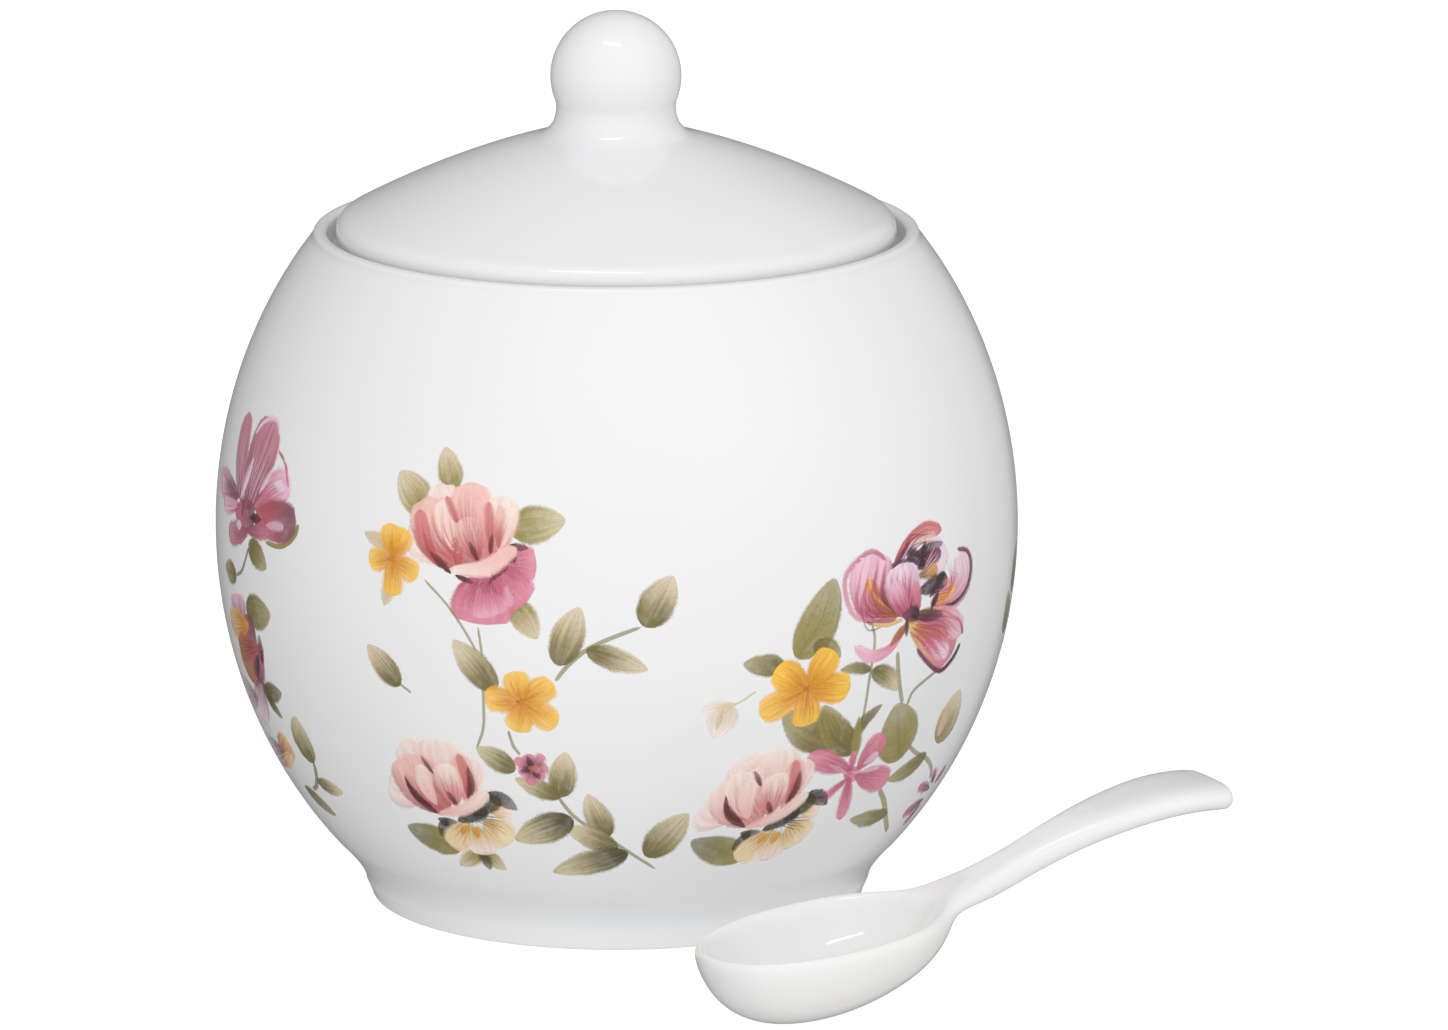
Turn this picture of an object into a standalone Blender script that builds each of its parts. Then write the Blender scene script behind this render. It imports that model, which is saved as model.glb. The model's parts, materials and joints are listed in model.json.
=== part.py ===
"""Porcelain sugar bowl: a round bowl on a foot ring, a loose domed lid with a ball knob, and a
small ladle that belongs to it.

Frame: metres, +Z up. The bowl's axis is the Z axis and its foot ring stands on Z = 0. The ladle
stands on the same surface, in front of the bowl (-Y) and to its right (+X).
Run it with: blender --background --python part.py
"""

import math

import bmesh
import bpy
from mathutils import Matrix

# Round pieces
SEGMENTS = 48                  # facets round the axis
ROUNDING_STEPS = 4             # points in one rounded corner

# Bowl, outside
BELLY_RADIUS = 0.0525          # at the widest place
BELLY_HEIGHT = 0.0493          # height of the widest place
RIM_HEIGHT = 0.0886            # top of the rim
RIM_RADIUS = 0.03945           # outside of the rim, where its rounding starts
WAIST_RADIUS = 0.03644         # outside of the body, where the waist's rounding starts
FOOT_RADIUS = 0.0323           # outside of the foot ring, where it stands
FOOT_TAPER = 0.0010            # how much wider the foot ring is at its top
FOOT_HEIGHT = 0.0044           # straight side of the foot ring
FOOT_RING_WIDTH = 0.0032       # wall of the foot ring
FOOT_RECESS = 0.0026           # hollow under the floor, inside the ring
WAIST_HEIGHT = 0.0030          # rounding from the foot ring into the body
BODY_STEPS = 17                # points down the body

# Bowl, inside
WALL = 0.0032                  # wall of the body
FLOOR = 0.0038                 # thickness of the floor above the recess
FLOOR_FILLET = 0.0090          # height of the rounding from the floor into the wall
FLOOR_FILLET_WIDTH = 0.0162    # its width along the floor
FLOOR_CORNER_INSET = 0.0015    # how far its corner lies inside the line of the wall
RIM_THICKNESS = 0.0019         # wall at the mouth
RIM_ROUNDING = 0.0009          # height of the rounded rim
LEDGE_DEPTH = 0.0032           # the ledge for the lid lies this far below the rim
LEDGE_WIDTH = 0.0048           # from the mouth's wall to the ledge's inner edge
LEDGE_THICKNESS = 0.0028       # the ledge's inner edge
SHOULDER_HEIGHT = 0.0048       # rounding from the wall into the underside of the ledge
EDGE_ROUNDING = 0.0005         # small broken edges

# Lid
LID_PLAY = 0.0011              # gap all round between the lid's edge and the mouth
SEAT_GAP = 0.0003              # gap under the lid's seat, where it touches the ledge
FLANGE_PLAY = 0.0008           # gap between the flange and the ledge's inner edge
FLANGE_WALL = 0.0024
FLANGE_DEPTH = 0.0060          # below the lid's seat
EDGE_ROLL = 0.0026             # radius of the lid's rounded edge
EDGE_ROLL_TURN = math.radians(60)   # direction of the roll where the dome meets it
LID_WALL = 0.0030
DOME_RISE = 0.0151             # from the seat to the foot of the knob
DOME_BULGE = 0.0016            # how far the dome is fuller than a cone
KNOB_RADIUS = 0.0085
KNOB_RISE = 0.0163             # from the foot of the knob to its top
NECK_INSET = 0.0007            # how much narrower the neck is than the knob
NECK_FILLET = 0.0024           # rounding from the neck into the dome
NECK_PINCH = 0.0003            # how far the neck draws in above that rounding

# Ladle. Its length runs along its own +X, from the middle of its bowl.
SPOON_BOWL_LENGTH = 0.0343
SPOON_BOWL_WIDTH = 0.0244
SPOON_BOWL_DEPTH = 0.0104      # of the middle of the wall, below the rim
SPOON_BOWL_SHALLOWING = 0.24   # how much shallower it gets towards the handle
SPOON_WALL = 0.0036            # wall of the handle
SPOON_BOWL_THINNING = 0.62     # the bowl's wall as a share of the handle's
HANDLE_LENGTH = 0.0414         # from the rim of the ladle's bowl to the handle's end
HANDLE_RISE = 0.0065           # of the highest place of the handle above the rim
HANDLE_NECK_WIDTH = 0.0062
HANDLE_END_WIDTH = 0.0142
SPOON_TILT = math.radians(-6)  # the rim rises towards the handle
SPOON_HEADING = math.radians(27)
SPOON_GAP = 0.0038             # room between the belly and the side of the ladle's bowl
SPOON_BEARING = math.radians(22.7)  # where the ladle stands, from -Y towards +X

# Stations along the ladle's handle: share of its length, share of its rise, and how far its
# width has grown from the neck's to the end's
HANDLE_STATIONS = ((0.12, 0.05, 0.15), (0.30, 0.40, 0.0), (0.52, 0.80, 0.45),
                   (0.78, 1.0, 0.95), (1.0, 0.78, 0.95))
HANDLE_ROOT = 0.85             # the rim's edges past this share of its half length carry the handle
AT_RIM = 0.01                  # on the unit sphere: a place this near its equator is on the rim


def clear_scene():
    for obj in list(bpy.data.objects):
        bpy.data.objects.remove(obj, do_unlink=True)


def porcelain(name, colour):
    """White glazed porcelain."""
    material = bpy.data.materials.new(name)
    material.use_nodes = True
    shader = material.node_tree.nodes["Principled BSDF"]
    shader.inputs["Base Color"].default_value = (*colour, 1.0)
    shader.inputs["Roughness"].default_value = 0.12
    shader.inputs["Metallic"].default_value = 0.0
    material.diffuse_color = (*colour, 1.0)
    return material


def bend(start, corner, end, steps=ROUNDING_STEPS):
    """A rounded corner from start to end, both included, that leans towards corner."""
    points = []
    for i in range(steps + 1):
        t = i / steps
        weights = ((1 - t) ** 2, 2 * t * (1 - t), t ** 2)
        points.append(tuple(
            weights[0] * a + weights[1] * b + weights[2] * c
            for a, b, c in zip(start, corner, end)
        ))
    return points


def arc(centre, radius, turn_from, turn_to, steps):
    """Points on a circle, both ends included."""
    points = []
    for i in range(steps + 1):
        turn = turn_from + (turn_to - turn_from) * i / steps
        points.append((centre[0] + radius * math.cos(turn), centre[1] + radius * math.sin(turn)))
    return points


def egg_half_height(height, radius):
    """Vertical half axis of the ellipse that is widest at the belly and passes through a place."""
    return abs(height - BELLY_HEIGHT) / math.sqrt(1 - (radius / BELLY_RADIUS) ** 2)


def half_height(height):
    """The egg's half axis: its upper half ends at the rim and its lower half at the waist."""
    if height > BELLY_HEIGHT:
        return egg_half_height(RIM_HEIGHT - RIM_ROUNDING, RIM_RADIUS)
    return egg_half_height(FOOT_HEIGHT + WAIST_HEIGHT, WAIST_RADIUS)


def egg_turn(height, inset):
    """Angle of a place on the egg above (+) or below (-) the belly."""
    return math.asin((height - BELLY_HEIGHT) / (half_height(height) - inset))


def egg_radius(height, inset=0.0):
    """Radius of the body's egg at a height, or of the egg that lies inset inside it."""
    return (BELLY_RADIUS - inset) * math.cos(egg_turn(height, inset))


def egg_wall(height_from, height_to, inset, steps):
    """Points along the egg, spaced evenly by angle."""
    turn_from = egg_turn(height_from, inset)
    turn_to = egg_turn(height_to, inset)
    points = []
    for i in range(steps + 1):
        turn = turn_from + (turn_to - turn_from) * i / steps
        half = half_height(BELLY_HEIGHT + turn) - inset
        points.append(((BELLY_RADIUS - inset) * math.cos(turn), BELLY_HEIGHT + half * math.sin(turn)))
    return points


def mouth_radius():
    return RIM_RADIUS - RIM_THICKNESS


def ledge_height():
    return RIM_HEIGHT - LEDGE_DEPTH


def ledge_inner_radius():
    return mouth_radius() - LEDGE_WIDTH


def bowl_profile():
    """From the axis on the floor, up the inside, over the rim, down the outside, to the axis."""
    floor = FOOT_RECESS + FLOOR
    wall_foot = floor + FLOOR_FILLET
    wall_foot_radius = egg_radius(wall_foot, WALL)
    lean = egg_radius(wall_foot + FLOOR_FILLET, WALL) - wall_foot_radius
    ledge = ledge_height()
    ledge_radius = ledge_inner_radius()
    under_ledge = ledge - LEDGE_THICKNESS
    shoulder = under_ledge - SHOULDER_HEIGHT
    mouth = mouth_radius()
    rim_side = RIM_HEIGHT - RIM_ROUNDING
    rim_middle = (mouth + RIM_RADIUS) / 2
    waist = FOOT_HEIGHT + WAIST_HEIGHT
    foot_top = FOOT_RADIUS + FOOT_TAPER
    foot_inner = FOOT_RADIUS - FOOT_RING_WIDTH
    soft = EDGE_ROUNDING

    inside = [(0.0, floor)]
    inside += bend((wall_foot_radius - FLOOR_FILLET_WIDTH, floor),
                   (wall_foot_radius - lean - FLOOR_CORNER_INSET, floor),
                   (wall_foot_radius, wall_foot))
    inside += egg_wall(wall_foot, shoulder, WALL, 10)[1:]
    inside += bend((egg_radius(shoulder, WALL), shoulder),
                   (egg_radius(under_ledge, WALL), under_ledge),
                   (ledge_radius + soft, under_ledge))[1:]
    inside += [(ledge_radius, under_ledge + soft), (ledge_radius, ledge - soft)]
    inside += [(ledge_radius + soft, ledge), (mouth - soft, ledge), (mouth, ledge + soft)]

    rim = bend((mouth, rim_side), (mouth, RIM_HEIGHT), (rim_middle, RIM_HEIGHT), 3)
    rim += bend((rim_middle, RIM_HEIGHT), (RIM_RADIUS, RIM_HEIGHT), (RIM_RADIUS, rim_side), 3)[1:]

    outside = egg_wall(rim_side, waist, 0.0, BODY_STEPS)[1:]
    outside += bend(outside[-1], (foot_top, (waist + FOOT_HEIGHT) / 2), (foot_top, FOOT_HEIGHT))[1:]
    outside += [(FOOT_RADIUS, soft), (FOOT_RADIUS - soft, 0.0)]
    outside += [(foot_inner + soft, 0.0), (foot_inner, soft)]
    outside += bend((foot_inner, FOOT_RECESS - 2 * soft), (foot_inner, FOOT_RECESS),
                    (foot_inner - 3 * soft, FOOT_RECESS), 2)
    outside += [(0.0, FOOT_RECESS)]
    return inside + rim + outside


def lid_profile():
    """From the top of the knob down the outside, round the edge, and back under the dome."""
    seat = ledge_height() + SEAT_GAP
    edge_radius = mouth_radius() - LID_PLAY
    dome_top = seat + DOME_RISE
    knob_middle = dome_top + KNOB_RISE - KNOB_RADIUS
    neck_radius = KNOB_RADIUS - NECK_INSET
    neck_turn = -math.acos(neck_radius / KNOB_RADIUS)
    roll_centre = (edge_radius - EDGE_ROLL, seat + EDGE_ROLL)
    flange = ledge_inner_radius() - FLANGE_PLAY
    flange_inner = flange - FLANGE_WALL
    flange_foot = seat - FLANGE_DEPTH
    soft = EDGE_ROUNDING

    knob = arc((0.0, knob_middle), KNOB_RADIUS, math.pi / 2, neck_turn, 10)
    knob[0] = (0.0, knob_middle + KNOB_RADIUS)
    neck_foot = (neck_radius + NECK_FILLET, dome_top)
    neck_corner = (neck_radius - NECK_PINCH, dome_top + (NECK_FILLET - NECK_PINCH) / 2)
    neck = bend(knob[-1], neck_corner, neck_foot)[1:]

    roll = arc(roll_centre, EDGE_ROLL, EDGE_ROLL_TURN, -math.pi / 2, 8)
    middle = [(a + b) / 2 for a, b in zip(neck_foot, roll[0])]
    dome = bend(neck_foot, (middle[0], middle[1] + DOME_BULGE), roll[0], 8)[1:]

    under = [(flange + 2 * soft, seat), (flange, seat - 2 * soft), (flange, flange_foot + 2 * soft)]
    under += [(flange - 2 * soft, flange_foot), (flange_inner + 2 * soft, flange_foot)]
    under += [(flange_inner, flange_foot + 2 * soft)]
    inner_dome = [(r, z - LID_WALL) for r, z in reversed(dome) if r < flange_inner - NECK_FILLET]
    under += bend((flange_inner, seat), (flange_inner, inner_dome[0][1] - NECK_FILLET / 2),
                  inner_dome[0])
    under += inner_dome[1:]
    under += [(0.0, dome_top - LID_WALL)]
    return knob + neck + dome[:-1] + roll + under


def turned(name, profile, collection, material):
    """A piece turned on the Z axis from its profile."""
    mesh = bpy.data.meshes.new(name)
    edges = [(i, i + 1) for i in range(len(profile) - 1)]
    mesh.from_pydata([(r, 0.0, z) for r, z in profile], edges, [])
    piece = bpy.data.objects.new(name, mesh)
    collection.objects.link(piece)
    mesh.materials.append(material)
    screw = piece.modifiers.new("Turn", "SCREW")
    screw.axis = "Z"
    screw.angle = 2 * math.pi
    screw.steps = SEGMENTS
    screw.render_steps = SEGMENTS
    screw.use_merge_vertices = True
    screw.merge_threshold = 0.00001
    screw.use_smooth_shade = True
    return piece


def handle_stations():
    """Distance from the ladle's middle, height above the rim, and half width, along the handle."""
    start = SPOON_BOWL_LENGTH / 2
    growth = HANDLE_END_WIDTH - HANDLE_NECK_WIDTH
    stations = []
    for share, rise, width in HANDLE_STATIONS:
        half_width = (HANDLE_NECK_WIDTH + width * growth) / 2
        stations.append((start + share * HANDLE_LENGTH, rise * HANDLE_RISE, half_width))
    return stations


def spoon_cage():
    """The middle of the ladle's wall: half a rounded cube, and a strip drawn out of its rim."""
    cage = bmesh.new()
    bmesh.ops.create_cube(cage, size=2.0)
    bmesh.ops.subdivide_edges(cage, edges=cage.edges[:], cuts=3, use_grid_fill=True)
    for vert in cage.verts:
        vert.co.normalize()
    upper = [vert for vert in cage.verts if vert.co.z > AT_RIM]
    bmesh.ops.delete(cage, geom=upper, context="VERTS")
    root = [edge for edge in cage.edges
            if all(abs(v.co.z) < AT_RIM and v.co.x > HANDLE_ROOT for v in edge.verts)]
    for vert in cage.verts:
        vert.co.z *= SPOON_BOWL_DEPTH * (1 - SPOON_BOWL_SHALLOWING * vert.co.x)
        vert.co.x *= SPOON_BOWL_LENGTH / 2
        vert.co.y *= SPOON_BOWL_WIDTH / 2
    bowl_verts = set(cage.verts)
    for distance, rise, half_width in handle_stations():
        grown = bmesh.ops.extrude_edge_only(cage, edges=root)["geom"]
        root = [item for item in grown if isinstance(item, bmesh.types.BMEdge)]
        tips = {vert for edge in root for vert in edge.verts}
        reach = max(abs(vert.co.y) for vert in tips)
        for vert in tips:
            side = vert.co.y / reach
            vert.co = (distance, side * half_width, rise)
    bmesh.ops.recalc_face_normals(cage, faces=cage.faces)
    cage.verts.index_update()
    return cage, sorted(vert.index for vert in bowl_verts)


def make_spoon(collection, material):
    mesh = bpy.data.meshes.new("spoon")
    cage, thin = spoon_cage()
    cage.to_mesh(mesh)
    cage.free()
    spoon = bpy.data.objects.new("spoon", mesh)
    collection.objects.link(spoon)
    mesh.materials.append(material)
    mesh.shade_smooth()
    wall = spoon.vertex_groups.new(name="wall")
    wall.add(range(len(mesh.vertices)), 1.0, "REPLACE")
    wall.add(thin, SPOON_BOWL_THINNING, "REPLACE")
    solidify = spoon.modifiers.new("Wall", "SOLIDIFY")
    solidify.thickness = SPOON_WALL
    solidify.offset = 0.0
    solidify.use_even_offset = True
    solidify.vertex_group = "wall"
    smooth = spoon.modifiers.new("Round", "SUBSURF")
    smooth.levels = 2
    smooth.render_levels = 2
    turn = Matrix.Rotation(SPOON_HEADING, 4, "Z") @ Matrix.Rotation(SPOON_TILT, 4, "Y")
    distance = BELLY_RADIUS + SPOON_GAP + SPOON_BOWL_WIDTH / 2
    place = (distance * math.sin(SPOON_BEARING), -distance * math.cos(SPOON_BEARING), 0.0)
    spoon.matrix_world = Matrix.Translation(place) @ turn
    stand_on_surface(spoon)


def stand_on_surface(piece):
    """Moves a piece up or down until its lowest place is at Z = 0."""
    bpy.context.view_layer.update()
    evaluated = piece.evaluated_get(bpy.context.evaluated_depsgraph_get())
    mesh = evaluated.to_mesh()
    lowest = min((piece.matrix_world @ vert.co).z for vert in mesh.vertices)
    evaluated.to_mesh_clear()
    piece.location.z -= lowest


def main():
    clear_scene()
    collection = bpy.data.collections.new("sugar_bowl")
    bpy.context.scene.collection.children.link(collection)
    turned("bowl", bowl_profile(), collection, porcelain("bowl_porcelain", (0.90, 0.90, 0.90)))
    turned("lid", lid_profile(), collection, porcelain("lid_porcelain", (0.91, 0.91, 0.91)))
    make_spoon(collection, porcelain("spoon_porcelain", (0.91, 0.90, 0.89)))


main()
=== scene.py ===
# %% [markdown]
# # A porcelain sugar bowl, its lid and its ladle
#
# The frame holds three pieces as plain solids: the bowl, the lid and a small ladle. This script
# gives them their looks. Each piece is modelled again with finer curves over its solid, in the
# same place, the porcelain gets its glaze, and sprays of flowers are printed round the bowl.
# All lengths are in metres, and +Z is up.

# %% Load the frame
import json
import math

import bmesh
import bpy
from mathutils import Matrix, Vector

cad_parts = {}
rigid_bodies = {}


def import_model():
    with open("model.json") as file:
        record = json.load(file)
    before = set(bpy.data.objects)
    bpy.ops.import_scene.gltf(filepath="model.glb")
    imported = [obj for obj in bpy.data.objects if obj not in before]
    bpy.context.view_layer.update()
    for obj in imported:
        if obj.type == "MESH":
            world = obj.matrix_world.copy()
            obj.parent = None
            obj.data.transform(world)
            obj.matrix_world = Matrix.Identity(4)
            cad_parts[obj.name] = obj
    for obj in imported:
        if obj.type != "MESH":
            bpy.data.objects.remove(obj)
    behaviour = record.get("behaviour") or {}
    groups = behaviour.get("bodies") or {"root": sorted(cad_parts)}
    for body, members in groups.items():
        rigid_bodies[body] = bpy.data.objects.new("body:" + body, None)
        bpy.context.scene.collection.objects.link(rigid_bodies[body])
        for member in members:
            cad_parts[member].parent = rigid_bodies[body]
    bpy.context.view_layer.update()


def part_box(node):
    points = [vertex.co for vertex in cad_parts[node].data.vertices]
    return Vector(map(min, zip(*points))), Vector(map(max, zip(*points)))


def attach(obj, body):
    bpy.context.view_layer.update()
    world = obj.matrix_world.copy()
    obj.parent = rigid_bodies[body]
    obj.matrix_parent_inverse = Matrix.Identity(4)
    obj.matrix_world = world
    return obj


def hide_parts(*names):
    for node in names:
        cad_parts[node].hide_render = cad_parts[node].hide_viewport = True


for leftover in list(bpy.data.objects):
    bpy.data.objects.remove(leftover)
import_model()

# %% [markdown]
# ## The view
#
# A long lens from a metre and a half away keeps the ellipses of the rim and the foot nearly
# parallel. The camera looks down by 13 degrees and stands a little to
# the right, which leaves room beside the bowl for the ladle's handle. Moving the camera was
# chosen over shifting the lens, so that other views of the bowl stay centred.

# %% Camera
CAMERA_PLACE = Vector((0.0140, -1.429, 0.3793))
CAMERA_TILT = math.radians(12.97)       # below the horizon
CAMERA_LENS = 279.0                     # millimetres, on a 36 mm sensor

camera_data = bpy.data.cameras.new("catalogue_camera")
camera_data.lens = CAMERA_LENS
camera = bpy.data.objects.new("catalogue_camera", camera_data)
camera.location = CAMERA_PLACE
camera.rotation_euler = (math.pi / 2 - CAMERA_TILT, 0.0, 0.0)
bpy.context.scene.collection.objects.link(camera)
bpy.context.scene.camera = camera
bpy.context.scene.view_settings.view_transform = "Standard"
print("camera:", camera_data.lens, "mm lens at", tuple(round(v, 3) for v in camera.location))

# %% [markdown]
# ## Helpers for working as by hand
#
# Blender's operators act on whatever is selected, and loading the frame leaves its nodes
# selected. So every piece starts by deselecting everything, and ends with its place baked into
# its mesh, its object at the origin.


# %% Selecting and finishing


def nothing_selected():
    """Leaves edit mode and deselects every object."""
    if bpy.context.object and bpy.context.object.mode != "OBJECT":
        bpy.ops.object.mode_set(mode="OBJECT")
    bpy.ops.object.select_all(action="DESELECT")


def only(piece):
    """Makes one object the selected and active one."""
    nothing_selected()
    piece.select_set(True)
    bpy.context.view_layer.objects.active = piece


def settle(piece):
    """Bakes an object's place, turn and size into its mesh."""
    only(piece)
    bpy.ops.object.transform_apply(location=True, rotation=True, scale=True)


def describe(piece):
    size = [round(1000 * v, 1) for v in piece.dimensions]
    print(f"{piece.name}: {len(piece.data.polygons)} faces, {size} mm")


# %% [markdown]
# ## Curves of a turned piece
#
# Bowl and lid are round, so each is a profile turned on the Z axis, as a plaster model for slip
# casting is turned on a wheel. A profile is drawn with three kinds of line: a rounded corner, an
# arc, and the side of the egg that the body follows.


# %% Lines of a profile
CORNER_STEPS = 10


def bend(start, corner, end, steps=CORNER_STEPS):
    """A rounded corner from start to end that leans towards corner."""
    points = []
    for i in range(steps + 1):
        t = i / steps
        weights = ((1 - t) ** 2, 2 * t * (1 - t), t ** 2)
        points.append(tuple(
            weights[0] * a + weights[1] * b + weights[2] * c
            for a, b, c in zip(start, corner, end)
        ))
    return points


def arc(centre, radius, turn_from, turn_to, steps):
    """Points on a circle, both ends included."""
    points = []
    for i in range(steps + 1):
        turn = turn_from + (turn_to - turn_from) * i / steps
        points.append((centre[0] + radius * math.cos(turn), centre[1] + radius * math.sin(turn)))
    return points


print("corner of", len(bend((1, 0), (1, 1), (0, 1))), "points")

# %% [markdown]
# ## The body's egg
#
# The body is an ellipse that is widest at the belly. Its upper half runs out at the rim and its
# lower half at the waist above the foot ring. The belly's radius comes from the bowl's own box,
# so the fine surface lies on the solid.

# %% The egg
bowl_low, bowl_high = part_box("bowl")
PRINT_ROOM = 0.0001
BELLY_RADIUS = (bowl_high.x - bowl_low.x) / 2 - PRINT_ROOM
BELLY_HEIGHT = 0.0493
RIM_HEIGHT = bowl_high.z
RIM_ROUNDING = 0.0009
RIM_RADIUS = 0.03945
FOOT_HEIGHT = 0.0044
WAIST_HEIGHT = 0.0030
WAIST_RADIUS = 0.03644


def half_height(height):
    """The egg's vertical half axis above or below the belly."""
    if height > BELLY_HEIGHT:
        end_height, end_radius = RIM_HEIGHT - RIM_ROUNDING, RIM_RADIUS
    else:
        end_height, end_radius = FOOT_HEIGHT + WAIST_HEIGHT, WAIST_RADIUS
    return abs(end_height - BELLY_HEIGHT) / math.sqrt(1 - (end_radius / BELLY_RADIUS) ** 2)


def egg_turn(height, inset=0.0):
    """Angle of a place on the egg above (+) or below (-) the belly."""
    return math.asin((height - BELLY_HEIGHT) / (half_height(height) - inset))


def egg_radius(height, inset=0.0):
    return (BELLY_RADIUS - inset) * math.cos(egg_turn(height, inset))


def egg_wall(height_from, height_to, inset, steps):
    """Points along the egg, spaced evenly by angle."""
    turn_from = egg_turn(height_from, inset)
    turn_to = egg_turn(height_to, inset)
    points = []
    for i in range(steps + 1):
        turn = turn_from + (turn_to - turn_from) * i / steps
        half = half_height(BELLY_HEIGHT + turn) - inset
        points.append(((BELLY_RADIUS - inset) * math.cos(turn), BELLY_HEIGHT + half * math.sin(turn)))
    return points


print("egg: belly", round(1000 * BELLY_RADIUS, 2), "mm, half heights",
      [round(1000 * half_height(BELLY_HEIGHT + side), 2) for side in (-0.01, 0.01)], "mm")

# %% [markdown]
# ## Turning a profile
#
# The profile is drawn as on paper: one point, then the next extruded from it, to the end. Spin
# then turns the line once round the axis. A Screw modifier would do the same, but with the
# operators the mesh is final at once, and its seam and its two poles can be welded.

# %% Turn a profile
TURN_STEPS = 192
SEED_SIZE = 0.00002            # the plane that is merged into the profile's first point
WELD_DISTANCE = 0.000002


def turned(name, profile):
    """Draws a profile point by point and spins it round the Z axis into a closed piece."""
    nothing_selected()
    radius, height = profile[0]
    bpy.ops.mesh.primitive_plane_add(size=SEED_SIZE, location=(radius, 0.0, height))
    piece = bpy.context.object
    piece.name = name
    settle(piece)
    bpy.ops.object.mode_set(mode="EDIT")
    bpy.ops.mesh.select_mode(type="VERT")
    bpy.ops.mesh.select_all(action="SELECT")
    bpy.ops.mesh.merge(type="CENTER")
    for (r0, z0), (r1, z1) in zip(profile, profile[1:]):
        bpy.ops.mesh.extrude_vertices_move(TRANSFORM_OT_translate={"value": (r1 - r0, 0.0, z1 - z0)})
    bpy.ops.mesh.select_all(action="SELECT")
    bpy.ops.mesh.spin(steps=TURN_STEPS, angle=2 * math.pi, center=(0, 0, 0), axis=(0, 0, 1))
    bpy.ops.mesh.select_all(action="SELECT")
    bpy.ops.mesh.remove_doubles(threshold=WELD_DISTANCE)
    bpy.ops.mesh.normals_make_consistent(inside=False)
    bpy.ops.object.mode_set(mode="OBJECT")
    piece.data.shade_smooth()
    return piece


# %% [markdown]
# ## The bowl
#
# The real bowl is slip-cast: body, foot ring and the ledge in its mouth are one shell of even
# wall. The profile runs from the axis on the floor, up the inside, under and over the ledge, over
# the thin rim, down the egg to the waist, round the foot ring and back to the axis underneath.
# The ledge carries the lid, so its height and inner edge are used again for the lid.

# %% Sizes inside the bowl
WALL = 0.0032
FLOOR = 0.0038
FLOOR_FILLET = 0.0090
FLOOR_FILLET_WIDTH = 0.0162
FLOOR_CORNER_INSET = 0.0015
FOOT_RADIUS = 0.0323
FOOT_TAPER = 0.0010
FOOT_SWEEP = 0.0008             # how far the hollow above the foot runs up the body
FOOT_RING_WIDTH = 0.0032
FOOT_RECESS = 0.0026
RIM_THICKNESS = 0.0019
LEDGE_DEPTH = 0.0032
LEDGE_WIDTH = 0.0048
LEDGE_THICKNESS = 0.0028
SHOULDER_HEIGHT = 0.0048
EDGE_ROUNDING = 0.0005

mouth_radius = RIM_RADIUS - RIM_THICKNESS
ledge_height = RIM_HEIGHT - LEDGE_DEPTH
ledge_inner_radius = mouth_radius - LEDGE_WIDTH
print("mouth", round(1000 * mouth_radius, 2), "mm, ledge from", round(1000 * ledge_inner_radius, 2), "mm")


# %% The inside of the bowl


def inside_of_bowl():
    floor = FOOT_RECESS + FLOOR
    wall_foot = floor + FLOOR_FILLET
    wall_foot_radius = egg_radius(wall_foot, WALL)
    lean = egg_radius(wall_foot + FLOOR_FILLET, WALL) - wall_foot_radius
    under_ledge = ledge_height - LEDGE_THICKNESS
    shoulder = under_ledge - SHOULDER_HEIGHT
    soft = EDGE_ROUNDING
    line = [(0.0, floor)]
    line += bend((wall_foot_radius - FLOOR_FILLET_WIDTH, floor),
                 (wall_foot_radius - lean - FLOOR_CORNER_INSET, floor),
                 (wall_foot_radius, wall_foot))
    line += egg_wall(wall_foot, shoulder, WALL, 40)[1:]
    line += bend((egg_radius(shoulder, WALL), shoulder), (egg_radius(under_ledge, WALL), under_ledge),
                 (ledge_inner_radius + soft, under_ledge))[1:]
    line += bend((ledge_inner_radius + soft, under_ledge), (ledge_inner_radius, under_ledge),
                 (ledge_inner_radius, under_ledge + soft), 3)[1:]
    line += bend((ledge_inner_radius, ledge_height - soft), (ledge_inner_radius, ledge_height),
                 (ledge_inner_radius + soft, ledge_height), 3)
    line += bend((mouth_radius - soft, ledge_height), (mouth_radius, ledge_height),
                 (mouth_radius, ledge_height + soft), 3)
    return line


print("inside:", len(inside_of_bowl()), "points")


# %% The outside of the bowl


def outside_of_bowl():
    rim_side = RIM_HEIGHT - RIM_ROUNDING
    rim_middle = (mouth_radius + RIM_RADIUS) / 2
    waist = FOOT_HEIGHT + WAIST_HEIGHT
    foot_top = FOOT_RADIUS + FOOT_TAPER
    foot_inner = FOOT_RADIUS - FOOT_RING_WIDTH
    soft = EDGE_ROUNDING
    line = bend((mouth_radius, rim_side), (mouth_radius, RIM_HEIGHT), (rim_middle, RIM_HEIGHT), 6)
    line += bend((rim_middle, RIM_HEIGHT), (RIM_RADIUS, RIM_HEIGHT), (RIM_RADIUS, rim_side), 6)[1:]
    line += egg_wall(rim_side, waist + FOOT_SWEEP, 0.0, 96)[1:]
    line += bend(line[-1], (foot_top, FOOT_HEIGHT), (foot_top - FOOT_TAPER / 4, FOOT_HEIGHT / 2), 12)[1:]
    line += bend((FOOT_RADIUS, soft), (FOOT_RADIUS, 0.0), (FOOT_RADIUS - soft, 0.0), 4)
    line += bend((foot_inner + soft, 0.0), (foot_inner, 0.0), (foot_inner, soft), 4)
    line += bend((foot_inner, FOOT_RECESS - 2 * soft), (foot_inner, FOOT_RECESS),
                 (foot_inner - 3 * soft, FOOT_RECESS), 4)
    return line + [(0.0, FOOT_RECESS)]


# %% Make the bowl
bowl = turned("bowl_body", inside_of_bowl() + outside_of_bowl())
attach(bowl, "bowl")
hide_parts("bowl")
describe(bowl)

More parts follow.
